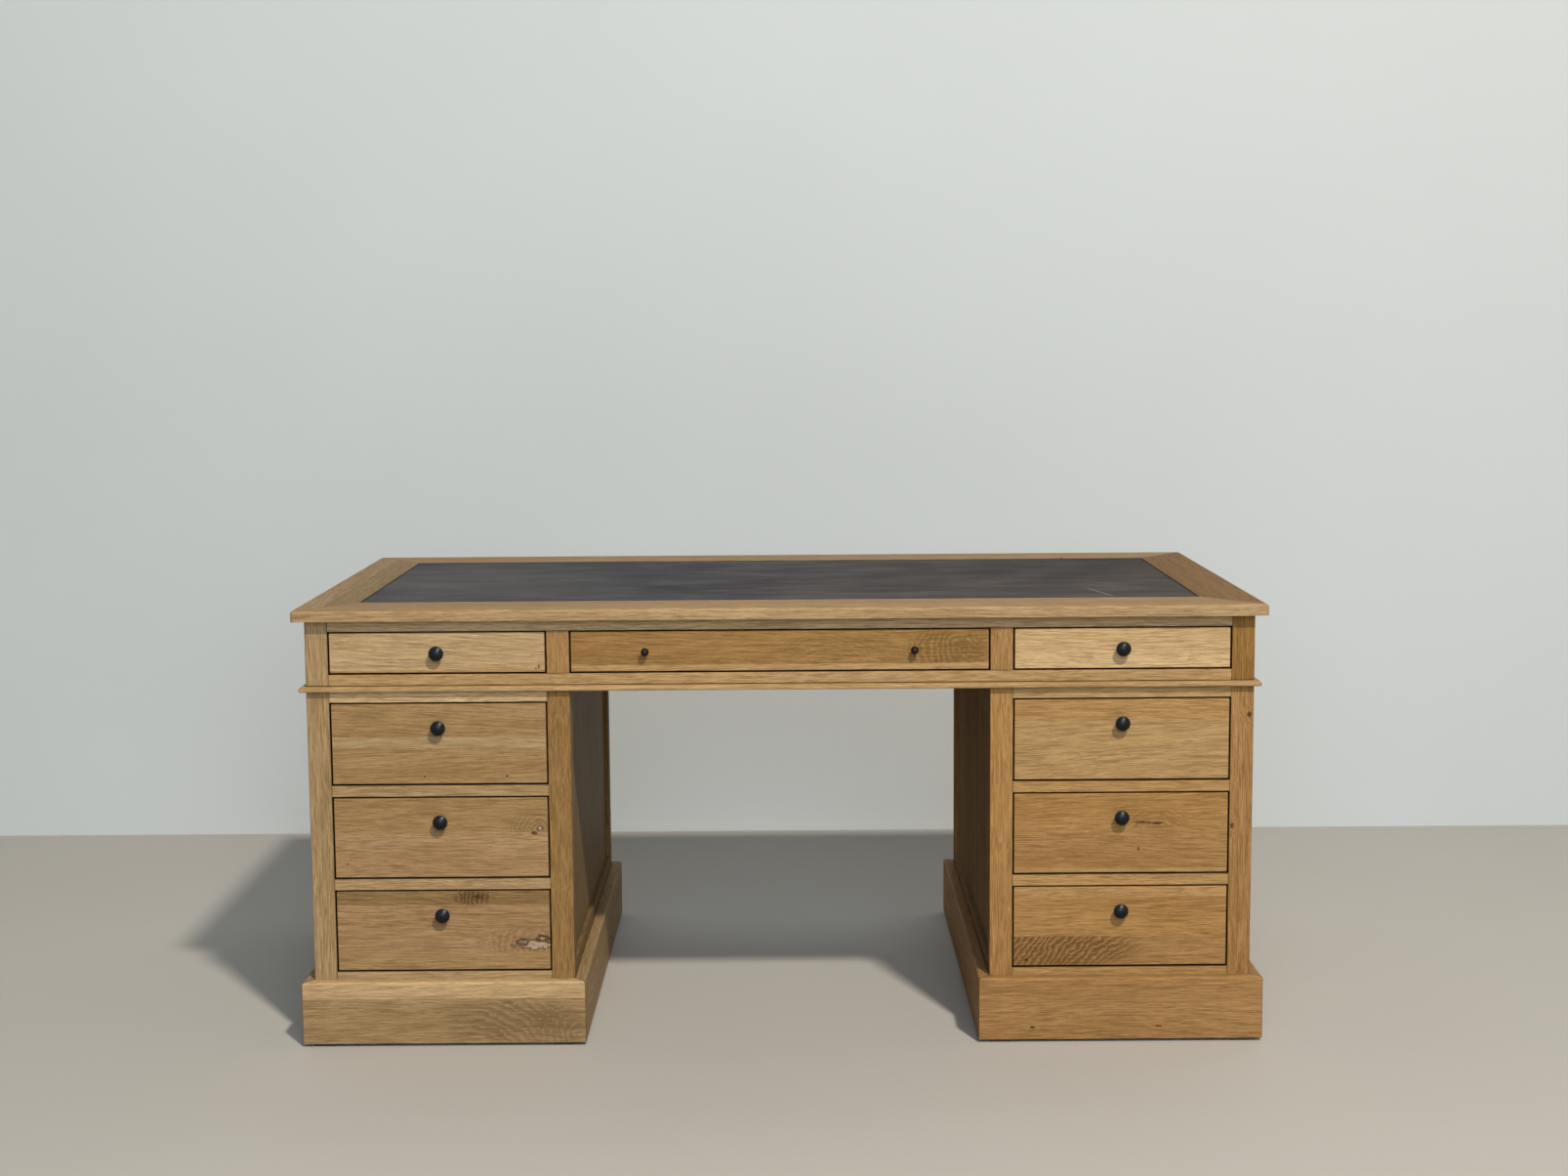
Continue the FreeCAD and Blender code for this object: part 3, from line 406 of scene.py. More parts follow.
def oak_material(name, colours, gloss, spacing, knots=(), swirls=(), contrast=1.0, axis=None,
                 shine=OAK_SHINE):
    """Oak with soft bands, short dashes, pores and faint rings along its grain. The boards carry
    their own place in the tree and their tint. Parts with neither run their grain along the axis."""
    light, middle, deep = colours
    material, surface, on_object = shader(name)
    tree = material.node_tree
    if axis is None:
        place = new_node(tree, "ShaderNodeAttribute", attribute_name="wood").outputs["Vector"]
        tint_node = new_node(tree, "ShaderNodeAttribute", attribute_name="tint")
        tint, figure = tint_node.outputs["Color"], tint_node.outputs["Alpha"]
    else:
        turn = {"x": (0, 0, 0), "y": (0, 0, math.pi / 2), "z": (0, math.pi / 2, 0)}[axis]
        mapping = {"Vector": on_object, "Rotation": turn, "Location": OFF_HEART}
        place = put("ShaderNodeMapping", mapping).outputs[0]
        tint, figure = TONES["plain"], PLAIN_FIGURE
    if knots:
        dark_knot, filling, bend = knot_layers(on_object, knots)
        aside = put("ShaderNodeCombineXYZ", {1: bend, 2: bend}).outputs[0]
        place = vector_sum("ADD", place, aside)
    bent = vector_sum("ADD", place, sway(place, *DRIFT))
    bent = vector_sum("ADD", bent, sway(place, *RIPPLE))
    noises = {part: stretched_noise(bent, *values) for part, values in FIGURE.items()}
    marks = {mark: times(ramp(noises[part], start, full), strength * contrast)
             for mark, (part, start, full, strength) in MARKS.items()}
    ring = year_rings(bent, spacing)

    base = blended(ramp(noises["broad"], 0.3, 0.7), light, middle)
    base = blended(marks["bands"], base, deep)
    if swirls:
        lines, shade = swirl_lines(on_object, swirls)
        on_stave = ramp(figure, *SWIRL_FIGURE)
        base = blended(times(shade, on_stave), base, deep)
    rings = times(times(ring, RING_STRENGTH * contrast), figure)
    rings = clamped(times(rings, ramp(noises["dash"], 0.25, 0.62)))
    base = blended(rings, base, deep)
    base = blended(marks["pale dashes"], base, toned(light, 1.22))
    base = blended(marks["dashes"], base, deep)
    base = blended(marks["streaks"], base, deep)
    pores = times(marks["pores"], plus(times(ring, 0.7), 0.3))
    base = blended(pores, base, toned(deep, 0.6))
    if swirls:
        base = blended(times(lines, on_stave), base, toned(deep, 0.7))
    base = blended(1.0, base, tint, "MULTIPLY")
    if knots:
        heart = even_noise(place, 160)
        if any(hollow for _, _, hollow in knots):
            fill_colour = blended(ramp(heart, 0.35, 0.65), FILLING_DARK, FILLING_PALE)
            base = blended(times(filling, 0.85), base, fill_colour)
        knot_colour = blended(ramp(heart, 0.35, 0.7), KNOT_DARK, KNOT_BROWN)
        base = blended(times(dark_knot, 0.9), base, knot_colour)

    height = minus(1.0, plus(pores, times(noises["fine"], 0.35)))
    feed(surface, {
        "Base Color": base,
        "Roughness": plus(times(noises["band"], 0.16), gloss - 0.08),
        "Specular IOR Level": shine,
        "Normal": bumps(height, 0.35, 0.0004)})
    return material


def finished_oak(name, knots=(), swirls=(), shine=OAK_SHINE):
    """The oiled oak of the outside."""
    settings = bpy.context.scene.desk_oak
    return oak_material(name, (settings.light, settings.middle, settings.deep), settings.gloss,
                        settings.ring_spacing, knots=knots, swirls=swirls, shine=shine)


def inner_oak(name, axis=None):
    """The unfinished oak inside."""
    settings = bpy.context.scene.desk_oak
    colours = (toned(settings.inner, 1.12), settings.inner, toned(settings.inner, 0.62))
    return oak_material(name, colours, INNER_ROUGHNESS, settings.ring_spacing,
                        contrast=INNER_CONTRAST, axis=axis)


# Board helpers

FLAT_ANGLE = math.radians(1)
SHARP_ANGLE = math.radians(35)
CREASE_ANGLE = math.radians(46)
JUST_INSIDE = 0.0005
# Where a board lay in the tree: metres along it and out from its side, and how much it slants
ALONG_TREE, DEPTH, SLANT = (0, 40), (0.02, 0.09), 0.035
# How far the tree's heart lies off the board's middle, as a share of its width
HEART_SHARE = 0.45
SHADE_SPREAD = (0.98, 1.02)


def ring_board(inside, centre, half):
    """Which board of a mitred frame a point belongs to, from how far out it lies each way."""
    across = abs(inside.x - centre.x) - half.x
    along = abs(inside.y - centre.y) - half.y
    if along > across:
        return "front" if inside.y < centre.y else "back"
    return "left" if inside.x < centre.x else "right"


def merged_boards(node, mitred=False):
    """A merged copy of a CAD part's mesh, in as few flat faces as can be. The boards of a mitred
    frame touch along their mitres, so each is merged by itself."""
    mesh = bmesh.new()
    mesh.from_mesh(frame["nodes"][node].data)
    if mitred:
        bmesh.ops.split_edges(mesh, edges=mesh.edges)
        low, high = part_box(node)
        centre, half = (low + high) / 2, (high - low) / 2
        groups = {}
        for face in mesh.faces:
            inside = face.calc_center_median() - face.normal * JUST_INSIDE
            groups.setdefault(ring_board(inside, centre, half), []).append(face)
        for faces in groups.values():
            corners = list({corner for face in faces for corner in face.verts})
            bmesh.ops.remove_doubles(mesh, verts=corners, dist=MERGE)
    else:
        bmesh.ops.remove_doubles(mesh, verts=mesh.verts, dist=MERGE)
    bmesh.ops.dissolve_limit(mesh, angle_limit=FLAT_ANGLE, verts=mesh.verts, edges=mesh.edges)
    return mesh


def ease_edges(mesh, width):
    """Eases every sharp edge of the boards by a small round, and marks the faces of the rounds."""
    eased = mesh.faces.layers.int.new("eased")
    sharp = [edge for edge in mesh.edges
             if len(edge.link_faces) == 2 and edge.calc_face_angle(0) > SHARP_ANGLE]
    rounds = bmesh.ops.bevel(mesh, geom=sharp, offset=width, affect="EDGES", segments=2, profile=0.5,
                             material=-1, clamp_overlap=True)
    for face in rounds["faces"]:
        face[eased] = 1


def level_cut(height):
    return (Vector((0, 0, height)), Vector((0, 0, 1)))


def flat_cuts(mesh, cuts, near=MERGE):
    """Parts the faces of a mesh along flat cuts, each a place and a direction."""
    for place, direction in cuts:
        geometry = mesh.verts[:] + mesh.edges[:] + mesh.faces[:]
        bmesh.ops.bisect_plane(mesh, geom=geometry, dist=near, plane_co=place, plane_no=direction)


def islands(mesh):
    """The separate boards of a mesh, as lists of faces, in order of their place."""
    found, seen = [], set()
    for first in mesh.faces:
        if first not in seen:
            board = [first]
            seen.add(first)
            for face in board:
                beside = [other for edge in face.edges for other in edge.link_faces]
                board.extend(dict.fromkeys(other for other in beside if other not in seen))
                seen.update(beside)
            found.append(board)

    def place(board):
        low, high = extent(board)
        middle = (low + high) / 2
        return tuple(round(part, 3) for part in (middle.x, middle.y, middle.z))
    return sorted(found, key=place)


def extent(faces):
    """The lowest and highest corners of some faces."""
    places = [corner.co for face in faces for corner in face.verts]
    low = Vector(min(place[axis] for place in places) for axis in range(3))
    high = Vector(max(place[axis] for place in places) for axis in range(3))
    return low, high


def lay_grain(mesh, name, tone_of, along, seam):
    """Gives each board its place in the tree, with the grain along its length, and its tint, which
    the seam's share darkens on the eased edges. The tone gives a face its stave, tint and figure."""
    wood = mesh.loops.layers.float_vector.new("wood")
    tint = mesh.loops.layers.float_color.new("tint")
    eased = mesh.faces.layers.int["eased"]
    for number, board in enumerate(islands(mesh)):
        low, high = extent(board)
        size = high - low
        order = sorted(range(3), key=lambda axis: -size[axis])
        if along is not None:
            order.sort(key=lambda axis: axis != along)
        grain, width, thick = order
        centre = (low + high) / 2
        for face in board:
            stave, tone, figure = tone_of(centre, face.calc_center_median())
            chance = random.Random(f"{name} {number} {stave}")
            slide = chance.uniform(*ALONG_TREE)
            heart = chance.uniform(-HEART_SHARE, HEART_SHARE) * size[width]
            depth = chance.uniform(*DEPTH)
            slant = chance.uniform(-SLANT, SLANT)
            shade = chance.uniform(*SHADE_SPREAD) * (seam if face[eased] else 1.0)
            colour = (*(part * shade for part in TONES[tone]), figure)
            for loop in face.loops:
                place = loop.vert.co - centre
                loop[wood] = (place[grain] + slide, place[width] + heart + slant * place[grain],
                              place[thick] + depth)
                loop[tint] = colour


def piece_of(mesh, name, material):
    """Turns a mesh into a piece of the scene."""
    data = bpy.data.meshes.new(name)
    mesh.to_mesh(data)
    mesh.free()
    data.materials.append(material)
    piece = bpy.data.objects.new(name, data)
    bpy.context.scene.collection.objects.link(piece)
    return piece


def show(mesh, name, node, material):
    """Turns a mesh into a piece that rides with a CAD part."""
    for face in mesh.faces:
        face.smooth = True
    for edge in mesh.edges:
        edge.smooth = not (len(edge.link_faces) == 2 and edge.calc_face_angle(0) > CREASE_ANGLE)
    piece = piece_of(mesh, name, material)
    flat = piece.modifiers.new("flat sides", "WEIGHTED_NORMAL")
    flat.keep_sharp = True
    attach(piece, BODY_OF[node])
    return piece


def dress_boards(node, material, tone_of, mitred=False, cuts=(), arris=None, along=None, seam=None):
    """Replaces a CAD part with eased, grained boards of the same shape."""
    settings = bpy.context.scene.desk_oak
    mesh = merged_boards(node, mitred)
    ease_edges(mesh, settings.arris if arris is None else arris)
    flat_cuts(mesh, cuts)
    lay_grain(mesh, node, tone_of, along, settings.seam if seam is None else seam)
    piece = show(mesh, f"dressed_{node}", node, material)
    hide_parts(node)


def one_tone(tone, figure):
    """The same tint and figure for every board of a part."""
    return lambda centre, place: (0, tone, figure)


def finish_node(node, material):
    """Gives a CAD part that stays as it is its material."""
    data = frame["nodes"][node].data
    data.materials.clear()
    data.materials.append(material)


# The pieces, in metres

LEATHER_ARRIS, BOX_ARRIS = 0.0006, 0.0002
# Where the upper face of the top starts, and how far up the frieze the painted shade along the bead
# reaches
TOP_EDGE, BEAD_SHADOW = 0.779, 0.0013
# Where two strips meet: metres outside an end board's middle, and a share of the plinth's height
END_SEAM, STRIP_SHARE = 0.004, 0.73
# How much of its light a drawer front keeps in its eased edges
FRONT_SEAM = 0.6
# How far from the desk's middle the drawers' openings lie, and where the front's faces are
SIDE_OPENING, CENTRE_OPENING, FRONT_FACE = (0.404, 0.794), 0.3675, -0.4285
# How far from the desk's middle the kneehole's sides lie, and the boards behind them end; faces and
# boards there get painted shade
KNEEHOLE_SIDE, INNER_SIDE = 0.3685, 0.42
# How far from the middle a pedestal's own middle lies, and how far back a front board reaches
POST_MIDDLE, BOARD_BACK = 0.6, -0.4
# The heights over which a rail is the top one of the frieze, and of a pedestal
FRIEZE_RAIL, PEDESTAL_RAIL = 0.7, 0.55
BACK_KNOT = ((0.584, 0.338, 0.78), (0.004, 0.007, 0.02))
POST_KNOTS = (((0.822, -0.43, 0.584), (0.004, 0.02, 0.0055)),
              ((0.7945, -0.43, 0.385), (0.0034, 0.02, 0.006)))
# Each pedestal's tones (outer and inner posts, top and other rails, and the painted shade of its
# kneehole side) and its sides' shine
PEDESTALS = {
    "left": ("fair", "russet", "ivory", "pale", "dusk", 0.02),
    "right": ("honey", "amber", "wheat", "golden", "umber", 0.0),
}


def solid_knots(places):
    return [(Vector(centre), Vector(radii), 0) for centre, radii in places]


class DESK_OT_top_boards(bpy.types.Operator):
    """Dress the mitred border boards of the top, each end board glued up from two strips"""
    bl_idname = "desk.top_boards"
    bl_label = "Top Boards"

    def execute(self, context):
        oak = finished_oak("oak_top", solid_knots([BACK_KNOT]))
        for side, sign in (("left", -1), ("right", 1)):
            node = f"top_{side}_board"
            low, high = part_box(node)
            seam = (low.x + high.x) / 2 + END_SEAM * sign
            # The strips' tones are partly their own and partly painted light, cooler on the left and
            # warmer on the right
            inner, outer = ("bark", "tan") if side == "right" else ("dun", "ashen")

            def end_tone(centre, place):
                return (1, outer, 0.5) if (place.x - seam) * sign > 0 else (0, inner, 0.5)
            dress_boards(node, oak, end_tone, cuts=[(Vector((seam, 0, 0)), Vector((1, 0, 0)))], along=1)

        # Painted light: the front board's edge is paler and bluer than its upper face
        def front_tone(centre, place):
            return (0, "pale" if place.z < TOP_EDGE else "flax", 0.4)
        dress_boards("top_front_board", oak, front_tone, along=0)
        dress_boards("top_back_board", oak, one_tone("ashen", 0.4), along=0)
        return {"FINISHED"}


class DESK_OT_leather(bpy.types.Operator):
    """Lay the leather writing surface into the top"""
    bl_idname = "desk.leather"
    bl_label = "Leather"

    def execute(self, context):
        mesh = merged_boards("leather_inset")
        ease_edges(mesh, LEATHER_ARRIS)
        piece = show(mesh, "leather_writing_surface", "leather_inset", leather_material())
        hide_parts("leather_inset")
        return {"FINISHED"}


# The leather's marks, in metres on the top: where each lies and how far it reaches
TOP_HEIGHT = 0.78
CLOUD = ((-0.6, 0.02), (0.42, 0.4))
HAZE = ((0.6, -0.13), (0.06, 0.07))
DARK_MARKS = (((-0.482, 0.124), (0.026, 0.007)), ((0.284, 0.152), (0.003, 0.009)))
# The pale scuff: where it would meet the desk's middle line, its slant, its half width
SCUFF_START, SCUFF_SLANT, SCUFF_HALF = 0.5234, 0.237, 0.0045
# Painted light colour on the leather: warm towards the right, cool towards the left
WARM_LIGHT_TINT, COOL_LIGHT_TINT = (0.95, 0.83, 0.8), (0.89, 0.95, 1.12)
EDGE_BAND_COLOUR = (0.012, 0.011, 0.011)
SCUFFED = (0.33, 0.31, 0.29)
MARKED = (0.014, 0.013, 0.012)


def patch(place, spot, reach, full):
    """A round patch on the leather: nothing at its reach, and whole at a share of that."""
    return ramp(shares_off(place, (*spot, TOP_HEIGHT), (*reach, 1))[1], 1.0, full)


def leather_material():
    """Charcoal leather: fine pebbled grain, soft streaks from rubbing, and a faint straight scuff."""
    settings = bpy.context.scene.desk_leather
    material, surface, place = shader("charcoal_leather")
    x, y, _ = parts_of(place)
    cloudy = stretched_noise(place, (2.4, 4.0, 1), 4.0, 0.6)
    rubbed = stretched_noise(place, (7.0, 22, 1), 4.0, 0.62)
    share = plus(times(ramp(cloudy, 0.35, 0.7), 0.36), times(ramp(rubbed, 0.36, 0.72), 0.48))
    base = blended(share, settings.colour, settings.worn)
    # Painted light colour: the leather turns warmer to the right and cooler to the left
    tint = blended(ramp(x, 0.75, -0.75), WARM_LIGHT_TINT, COOL_LIGHT_TINT)
    base = blended(1.0, base, tint, "MULTIPLY")
    base = blended(times(patch(place, *CLOUD, 0.2), 0.4), base, settings.worn)
    # The leather is darker along its edges
    low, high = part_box("leather_inset")
    middle, half = (low + high) / 2, (high - low) / 2
    off_middle = vector_sum("ABSOLUTE", vector_sum("SUBTRACT", place, middle), (0, 0, 0))
    inward = parts_of(vector_sum("SUBTRACT", half, off_middle))
    border = sums("MINIMUM", ramp(inward[0], 0.001, 0.006), ramp(inward[1], 0.003, 0.014))
    base = blended(times(minus(1.0, border), 0.8), base, EDGE_BAND_COLOUR)
    # A pale scuff runs to the front edge near its right end, with small dark marks elsewhere
    off_line = plus(times(y, SCUFF_SLANT), minus(x, SCUFF_START))
    scuff = ramp(sums("ABSOLUTE", off_line), SCUFF_HALF, 0.0)
    window = times(ramp(y, -0.15, -0.23), ramp(y, -0.325, -0.3))
    scuff = times(times(scuff, window), 0.42)
    scuff = plus(scuff, times(patch(place, *HAZE, 0.2), 0.07))
    base = blended(scuff, base, SCUFFED)
    for spot, reach in DARK_MARKS:
        base = blended(times(patch(place, spot, reach, 0.5), 0.5), base, MARKED)
    inputs = {"Vector": place, "Scale": 1 / settings.grain}
    pebble = put("ShaderNodeTexVoronoi", inputs, feature="SMOOTH_F1").outputs["Distance"]
    crease = stretched_noise(place, (180, 260, 180))
    height = plus(times(pebble, 0.7), times(crease, 0.5))
    feed(surface, {
        "Base Color": base,
        "Roughness": plus(times(cloudy, 0.16), settings.roughness - 0.08),
        "Specular IOR Level": 0.03,
        "Normal": bumps(height, 0.25, 0.0004)})
    return material


def gap_tone(place, tone):
    """The tone of a face of the front's frame, in painted shade where it looks into a drawer's opening.
    """
    aside = abs(place.x)
    between = SIDE_OPENING[0] < aside < SIDE_OPENING[1] or aside < CENTRE_OPENING
    return "shade" if between and place.y > FRONT_FACE else tone


class DESK_OT_frieze(bpy.types.Operator):
    """Dress the frieze under the top: posts, rails, stiles, end boards, back board"""
    bl_idname = "desk.frieze"
    bl_label = "Frieze"

    def execute(self, context):
        oak = finished_oak("oak_frieze")
        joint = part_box("frieze_bead")[1].z + BEAD_SHADOW

        # Painted shade on the frieze up to just above the bead, and on faces inside the openings
        def frame_tone(place, tone):
            return (0, "shade" if place.z < joint else gap_tone(place, tone), 0.3)

        def post_tone(centre, place):
            return frame_tone(place, "fair" if centre.x < 0 else "hazel")

        # The upper rail lies in the top's shadow, and its paler, bluer tone is painted light
        def rail_tone(centre, place):
            return frame_tone(place, "cream" if centre.z > FRIEZE_RAIL else "wheat")

        def stile_tone(centre, place):
            return (0, gap_tone(place, "honey"), 0.3)
        dress_boards("frieze_corner_posts", oak, post_tone, cuts=[level_cut(joint)], along=2)
        dress_boards("frieze_front_rails", oak, rail_tone, cuts=[level_cut(joint)], along=0)
        dress_boards("frieze_front_stiles", oak, stile_tone, along=2)
        dress_boards("frieze_end_boards", oak, one_tone("plain", 0.6))
        dress_boards("frieze_back_board", oak, one_tone("plain", 0.6))
        return {"FINISHED"}


class DESK_OT_bead(bpy.types.Operator):
    """Dress the round-nosed bead, its lengths mitred at the corners"""
    bl_idname = "desk.bead"
    bl_label = "Bead"

    def execute(self, context):
        dress_boards("frieze_bead", finished_oak("oak_bead"), one_tone("wheat", 0.2), mitred=True)
        return {"FINISHED"}


class DESK_OT_pedestals(bpy.types.Operator):
    """Dress the pedestals: posts, front rails, frame rails and recessed panels"""
    bl_idname = "desk.pedestals"
    bl_label = "Pedestals"

    def execute(self, context):
        oak = finished_oak("oak_pedestals")
        knotty = finished_oak("oak_right_posts", solid_knots(POST_KNOTS), shine=0.0)
        for side, (outer, inner, upper, lower, shady, shine) in PEDESTALS.items():
            sides_oak = finished_oak(f"oak_{side}_sides", shine=shine)
            posts_oak = oak if side == "left" else knotty

            # The kneehole's faces get the pedestal's painted shade tone, and faces inside the openings
            # the painted shade of the gaps
            def post_tone(centre, place):
                if abs(place.x) < KNEEHOLE_SIDE:
                    return (0, shady, 0.35)
                return (0, gap_tone(place, outer if abs(centre.x) > POST_MIDDLE else inner), 0.35)

            # The left pedestal's pale top rail tone is painted light, lifting the rail out of the
            # bead's shadow
            def rail_tone(centre, place):
                return (0, gap_tone(place, upper if centre.z > PEDESTAL_RAIL else lower), 0.3)

            # The frame and panels of the kneehole's side get the pedestal's painted shade tone
            def side_tone(centre, place):
                return (0, shady if abs(centre.x) < INNER_SIDE else "plain", 0.5)
            dress_boards(f"{side}_pedestal_posts", posts_oak, post_tone, along=2)
            dress_boards(f"{side}_pedestal_front_rails", oak, rail_tone, along=0)
            dress_boards(f"{side}_pedestal_frame_rails", sides_oak, side_tone)
            dress_boards(f"{side}_pedestal_panels", sides_oak, side_tone, along=2)
        return {"FINISHED"}


class DESK_OT_plinths(bpy.types.Operator):
    """Dress the mitred plinth boards, the left one's front glued up from two strips"""
    bl_idname = "desk.plinths"
    bl_label = "Plinths"

    def execute(self, context):
        for side in ("left", "right"):
            node = f"{side}_pedestal_plinth"
            name = f"{side}_plinth"
            knots, swirls = marks_on(node, KNOTS.get(name)), marks_on(node, SWIRLS.get(name))
            oak = finished_oak(f"oak_{name}", knots, swirls)
            low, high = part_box(node)
            seam = low.z + (high.z - low.z) * STRIP_SHARE

            def plinth_tone(centre, place):
                if side == "left" and centre.y < BOARD_BACK and place.z > seam:
                    return (1, "ivory", 0.2)
                return (0, "ashen" if side == "left" else "honey", 0.6)
            cuts = [level_cut(seam)] if side == "left" else []
            dress_boards(node, oak, plinth_tone, mitred=True, cuts=cuts)
        return {"FINISHED"}


# Where the knots and swirls lie: shares of the width and height, radii in metres, and then the share
# that is open inside a knot, or a swirl's hub, spacing and strength
KNOTS = {
    "left_upper": [
        ((0.814, 0.09), (0.0018, 0.0026), 0), ((0.429, 0.09), (0.0016, 0.0022), 0)],
    "left_middle": [
        ((0.962, 0.61), (0.0058, 0.0055), 0.6), ((0.934, 0.55), (0.006, 0.003), 0),
        ((0.056, 0.17), (0.0018, 0.0016), 0)],
    "left_lower": [
        ((0.93, 0.31), (0.034, 0.0105), 0.74), ((0.965, 0.385), (0.014, 0.007), 0.45),
        ((0.87, 0.34), (0.012, 0.0075), 0.5), ((0.6, 0.925), (0.002, 0.0075), 0),
        ((0.665, 0.925), (0.01, 0.004), 0)],
    "right_middle": [
        ((0.668, 0.625), (0.012, 0.0036), 0), ((0.6, 0.635), (0.016, 0.0018), 0),
        ((0.583, 0.3), (0.0015, 0.006), 0)],
    "right_lower": [((0.06, 0.07), (0.0048, 0.0032), 0)],
    "left_top": [
        ((0.972, 0.13), (0.0016, 0.003), 0), ((0.958, 0.09), (0.0022, 0.0012), 0)],
    "right_plinth": [
        ((0.189, 0.2), (0.005, 0.0022), 0), ((0.635, 0.21), (0.006, 0.002), 0)],
}
SWIRLS = {
    "left_middle": [((0.94, 0.6), (0.07, 0.036), (0.006, 0, 0.0085, 0.34))],
    "left_lower": [
        ((0.64, 0.915), (0.045, 0.017), (-0.12, 0, 0.009, 0.85)),
        ((0.9, 0.34), (0.1, 0.038), (0.012, -0.006, 0.0095, 0.36))],
    "right_lower": [((0.18, 0.24), (0.19, 0.052), (0.225, -0.18, 0.0092, 0.8))],
    "right_middle": [((0.66, 0.66), (0.075, 0.026), (0.0, -0.06, 0.008, 0.4))],
    "centre": [
        ((0.885, 0.48), (0.08, 0.046), (0.04, 0.0, 0.0098, 0.48)),
        ((0.955, 0.5), (0.04, 0.04), (0.02, 0.03, 0.0085, 0.48)),
        ((0.62, 0.6), (0.11, 0.03), (0.0, -0.09, 0.009, 0.24))],
    "left_plinth": [
        ((0.74, 0.36), (0.15, 0.052), (-0.08, -0.13, 0.0124, 0.46)),
        ((0.9, 0.3), (0.062, 0.046), (0.04, -0.02, 0.011, 0.46))],
}


def marks_on(node, table):
    """The marks on a board, each with its centre and radii in metres on the front face."""
    low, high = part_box(node)
    size = high - low
    marks = []
    for (across, up), (wide, tall), extra in table or ():
        centre = Vector((low.x + size.x * across, low.y, low.z + size.z * up))
        marks.append((centre, Vector((wide, 0.02, tall)), extra))
    return marks


class DESK_OT_drawer_fronts(bpy.types.Operator):
    """Dress the nine drawer fronts, each glued up from its own staves and with its own knots"""
    bl_idname = "desk.drawer_fronts"
    bl_label = "Drawer Fronts"

    def execute(self, context):
        plain = finished_oak("oak_drawer_fronts")
        for drawer, staves in STAVES.items():
            node = f"{drawer}_drawer_front"
            low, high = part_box(node)
            size = high - low
            knots, swirls = marks_on(node, KNOTS.get(drawer)), marks_on(node, SWIRLS.get(drawer))
            oak = finished_oak(f"oak_{node}", knots, swirls) if knots or swirls else plain

            def stave_tone(centre, place):
                if min(place.x - low.x, low.x + size.x - place.x) < JUST_INSIDE:
                    return (0, "end", 0.2)
                share = (place.z - low.z) / size.z
                for stave, (top, tone, figure) in enumerate(staves):
                    if share < top:
                        return (stave, tone, figure)
                return (len(staves) - 1, *staves[-1][1:])
            cuts = [level_cut(low.z + size.z * top) for top, _, _ in staves[:-1]]
            dress_boards(node, oak, stave_tone, cuts=cuts, along=0, seam=FRONT_SEAM)
        return {"FINISHED"}


class DESK_OT_drawer_boxes(bpy.types.Operator):
    """Dress the dovetailed drawer boxes in plain unfinished oak"""
    bl_idname = "desk.drawer_boxes"
    bl_label = "Drawer Boxes"

    def execute(self, context):
        oak = inner_oak("oak_drawer_boxes")
        for node in sorted(BODY_OF):
            if node.endswith("_box"):
                dress_boards(node, oak, one_tone("plain", 0.35), arris=BOX_ARRIS, seam=1.0)
        return {"FINISHED"}


class DESK_OT_inner_timber(bpy.types.Operator):
    """Finish the timber inside: core panel, partitions, runners, stops, blocks, tenons, floors"""
    bl_idname = "desk.inner_timber"
    bl_label = "Inner Timber"

    def execute(self, context):
        lengthways, across = inner_oak("inner_oak_lengthways", "x"), inner_oak("inner_oak_across", "y")
        for node in ("top_core_panel", "top_glue_blocks", "left_pedestal_bottom_board",
                     "right_pedestal_bottom_board"):
            finish_node(node, lengthways)
        for node in ("frieze_partitions", "frieze_runners", "left_pedestal_runners",
                     "right_pedestal_runners", "drawer_stops"):
            finish_node(node, across)
        finish_node("loose_tenons", inner_oak("inner_oak_upright", "z"))
        return {"FINISHED"}


class DESK_OT_glides(bpy.types.Operator):
    """Finish the pads under the plinths' corners in dark felt"""
    bl_idname = "desk.glides"
    bl_label = "Glides"

    def execute(self, context):
        material, surface, place = shader("felt_pads")
        fluff = even_noise(place, 900)
        base = blended(ramp(fluff, 0.3, 0.7), (0.03, 0.026, 0.022), (0.06, 0.05, 0.042))
        feed(surface, {"Base Color": base, "Roughness": 0.95, "Sheen Weight": 0.3,
                       "Normal": bumps(fluff, 0.5, 0.0005)})
        finish_node("glides", material)
        return {"FINISHED"}


# The turned work

# The domed knob and the ball knob, as radius and distance out from the drawer's face, in mm
DOMED_PROFILE = (
    (0, 0), (7.2, 0), (7.5, 0.3), (7.5, 1.5), (7.2, 2.1), (6.2, 2.8), (5.2, 4.0), (4.75, 5.6),
    (4.8, 7.4), (5.6, 8.8), (7.8, 10.2), (10.6, 11.2), (12.4, 11.9), (12.9, 12.4), (13.0, 13.2),
    (12.9, 14.0), (12.3, 14.8), (11.4, 15.3), (10.2, 16.3), (8.6, 17.5), (6.6, 18.6), (4.4, 19.4),
    (2.2, 19.85), (0, 20))
BALL_PROFILE = (
    (0, 0), (4.3, 0), (4.5, 0.2), (4.5, 1.2), (4.2, 1.7), (3.4, 2.5), (3.0, 3.6), (3.1, 4.9),
    (4.2, 6.0), (5.6, 7.3), (6.5, 8.8), (6.95, 10.4), (6.95, 12.0), (6.5, 13.6), (5.6, 15.0),
    (4.3, 16.4), (2.5, 17.5), (1.2, 17.9), (0, 18))
MM = 0.001
TURNED_STEPS = 40
# The slot in a screw's head, in metres: half its width, and how far its floor is from the wood
SLOT_HALF, SLOT_FLOOR = 0.0005, 0.0009


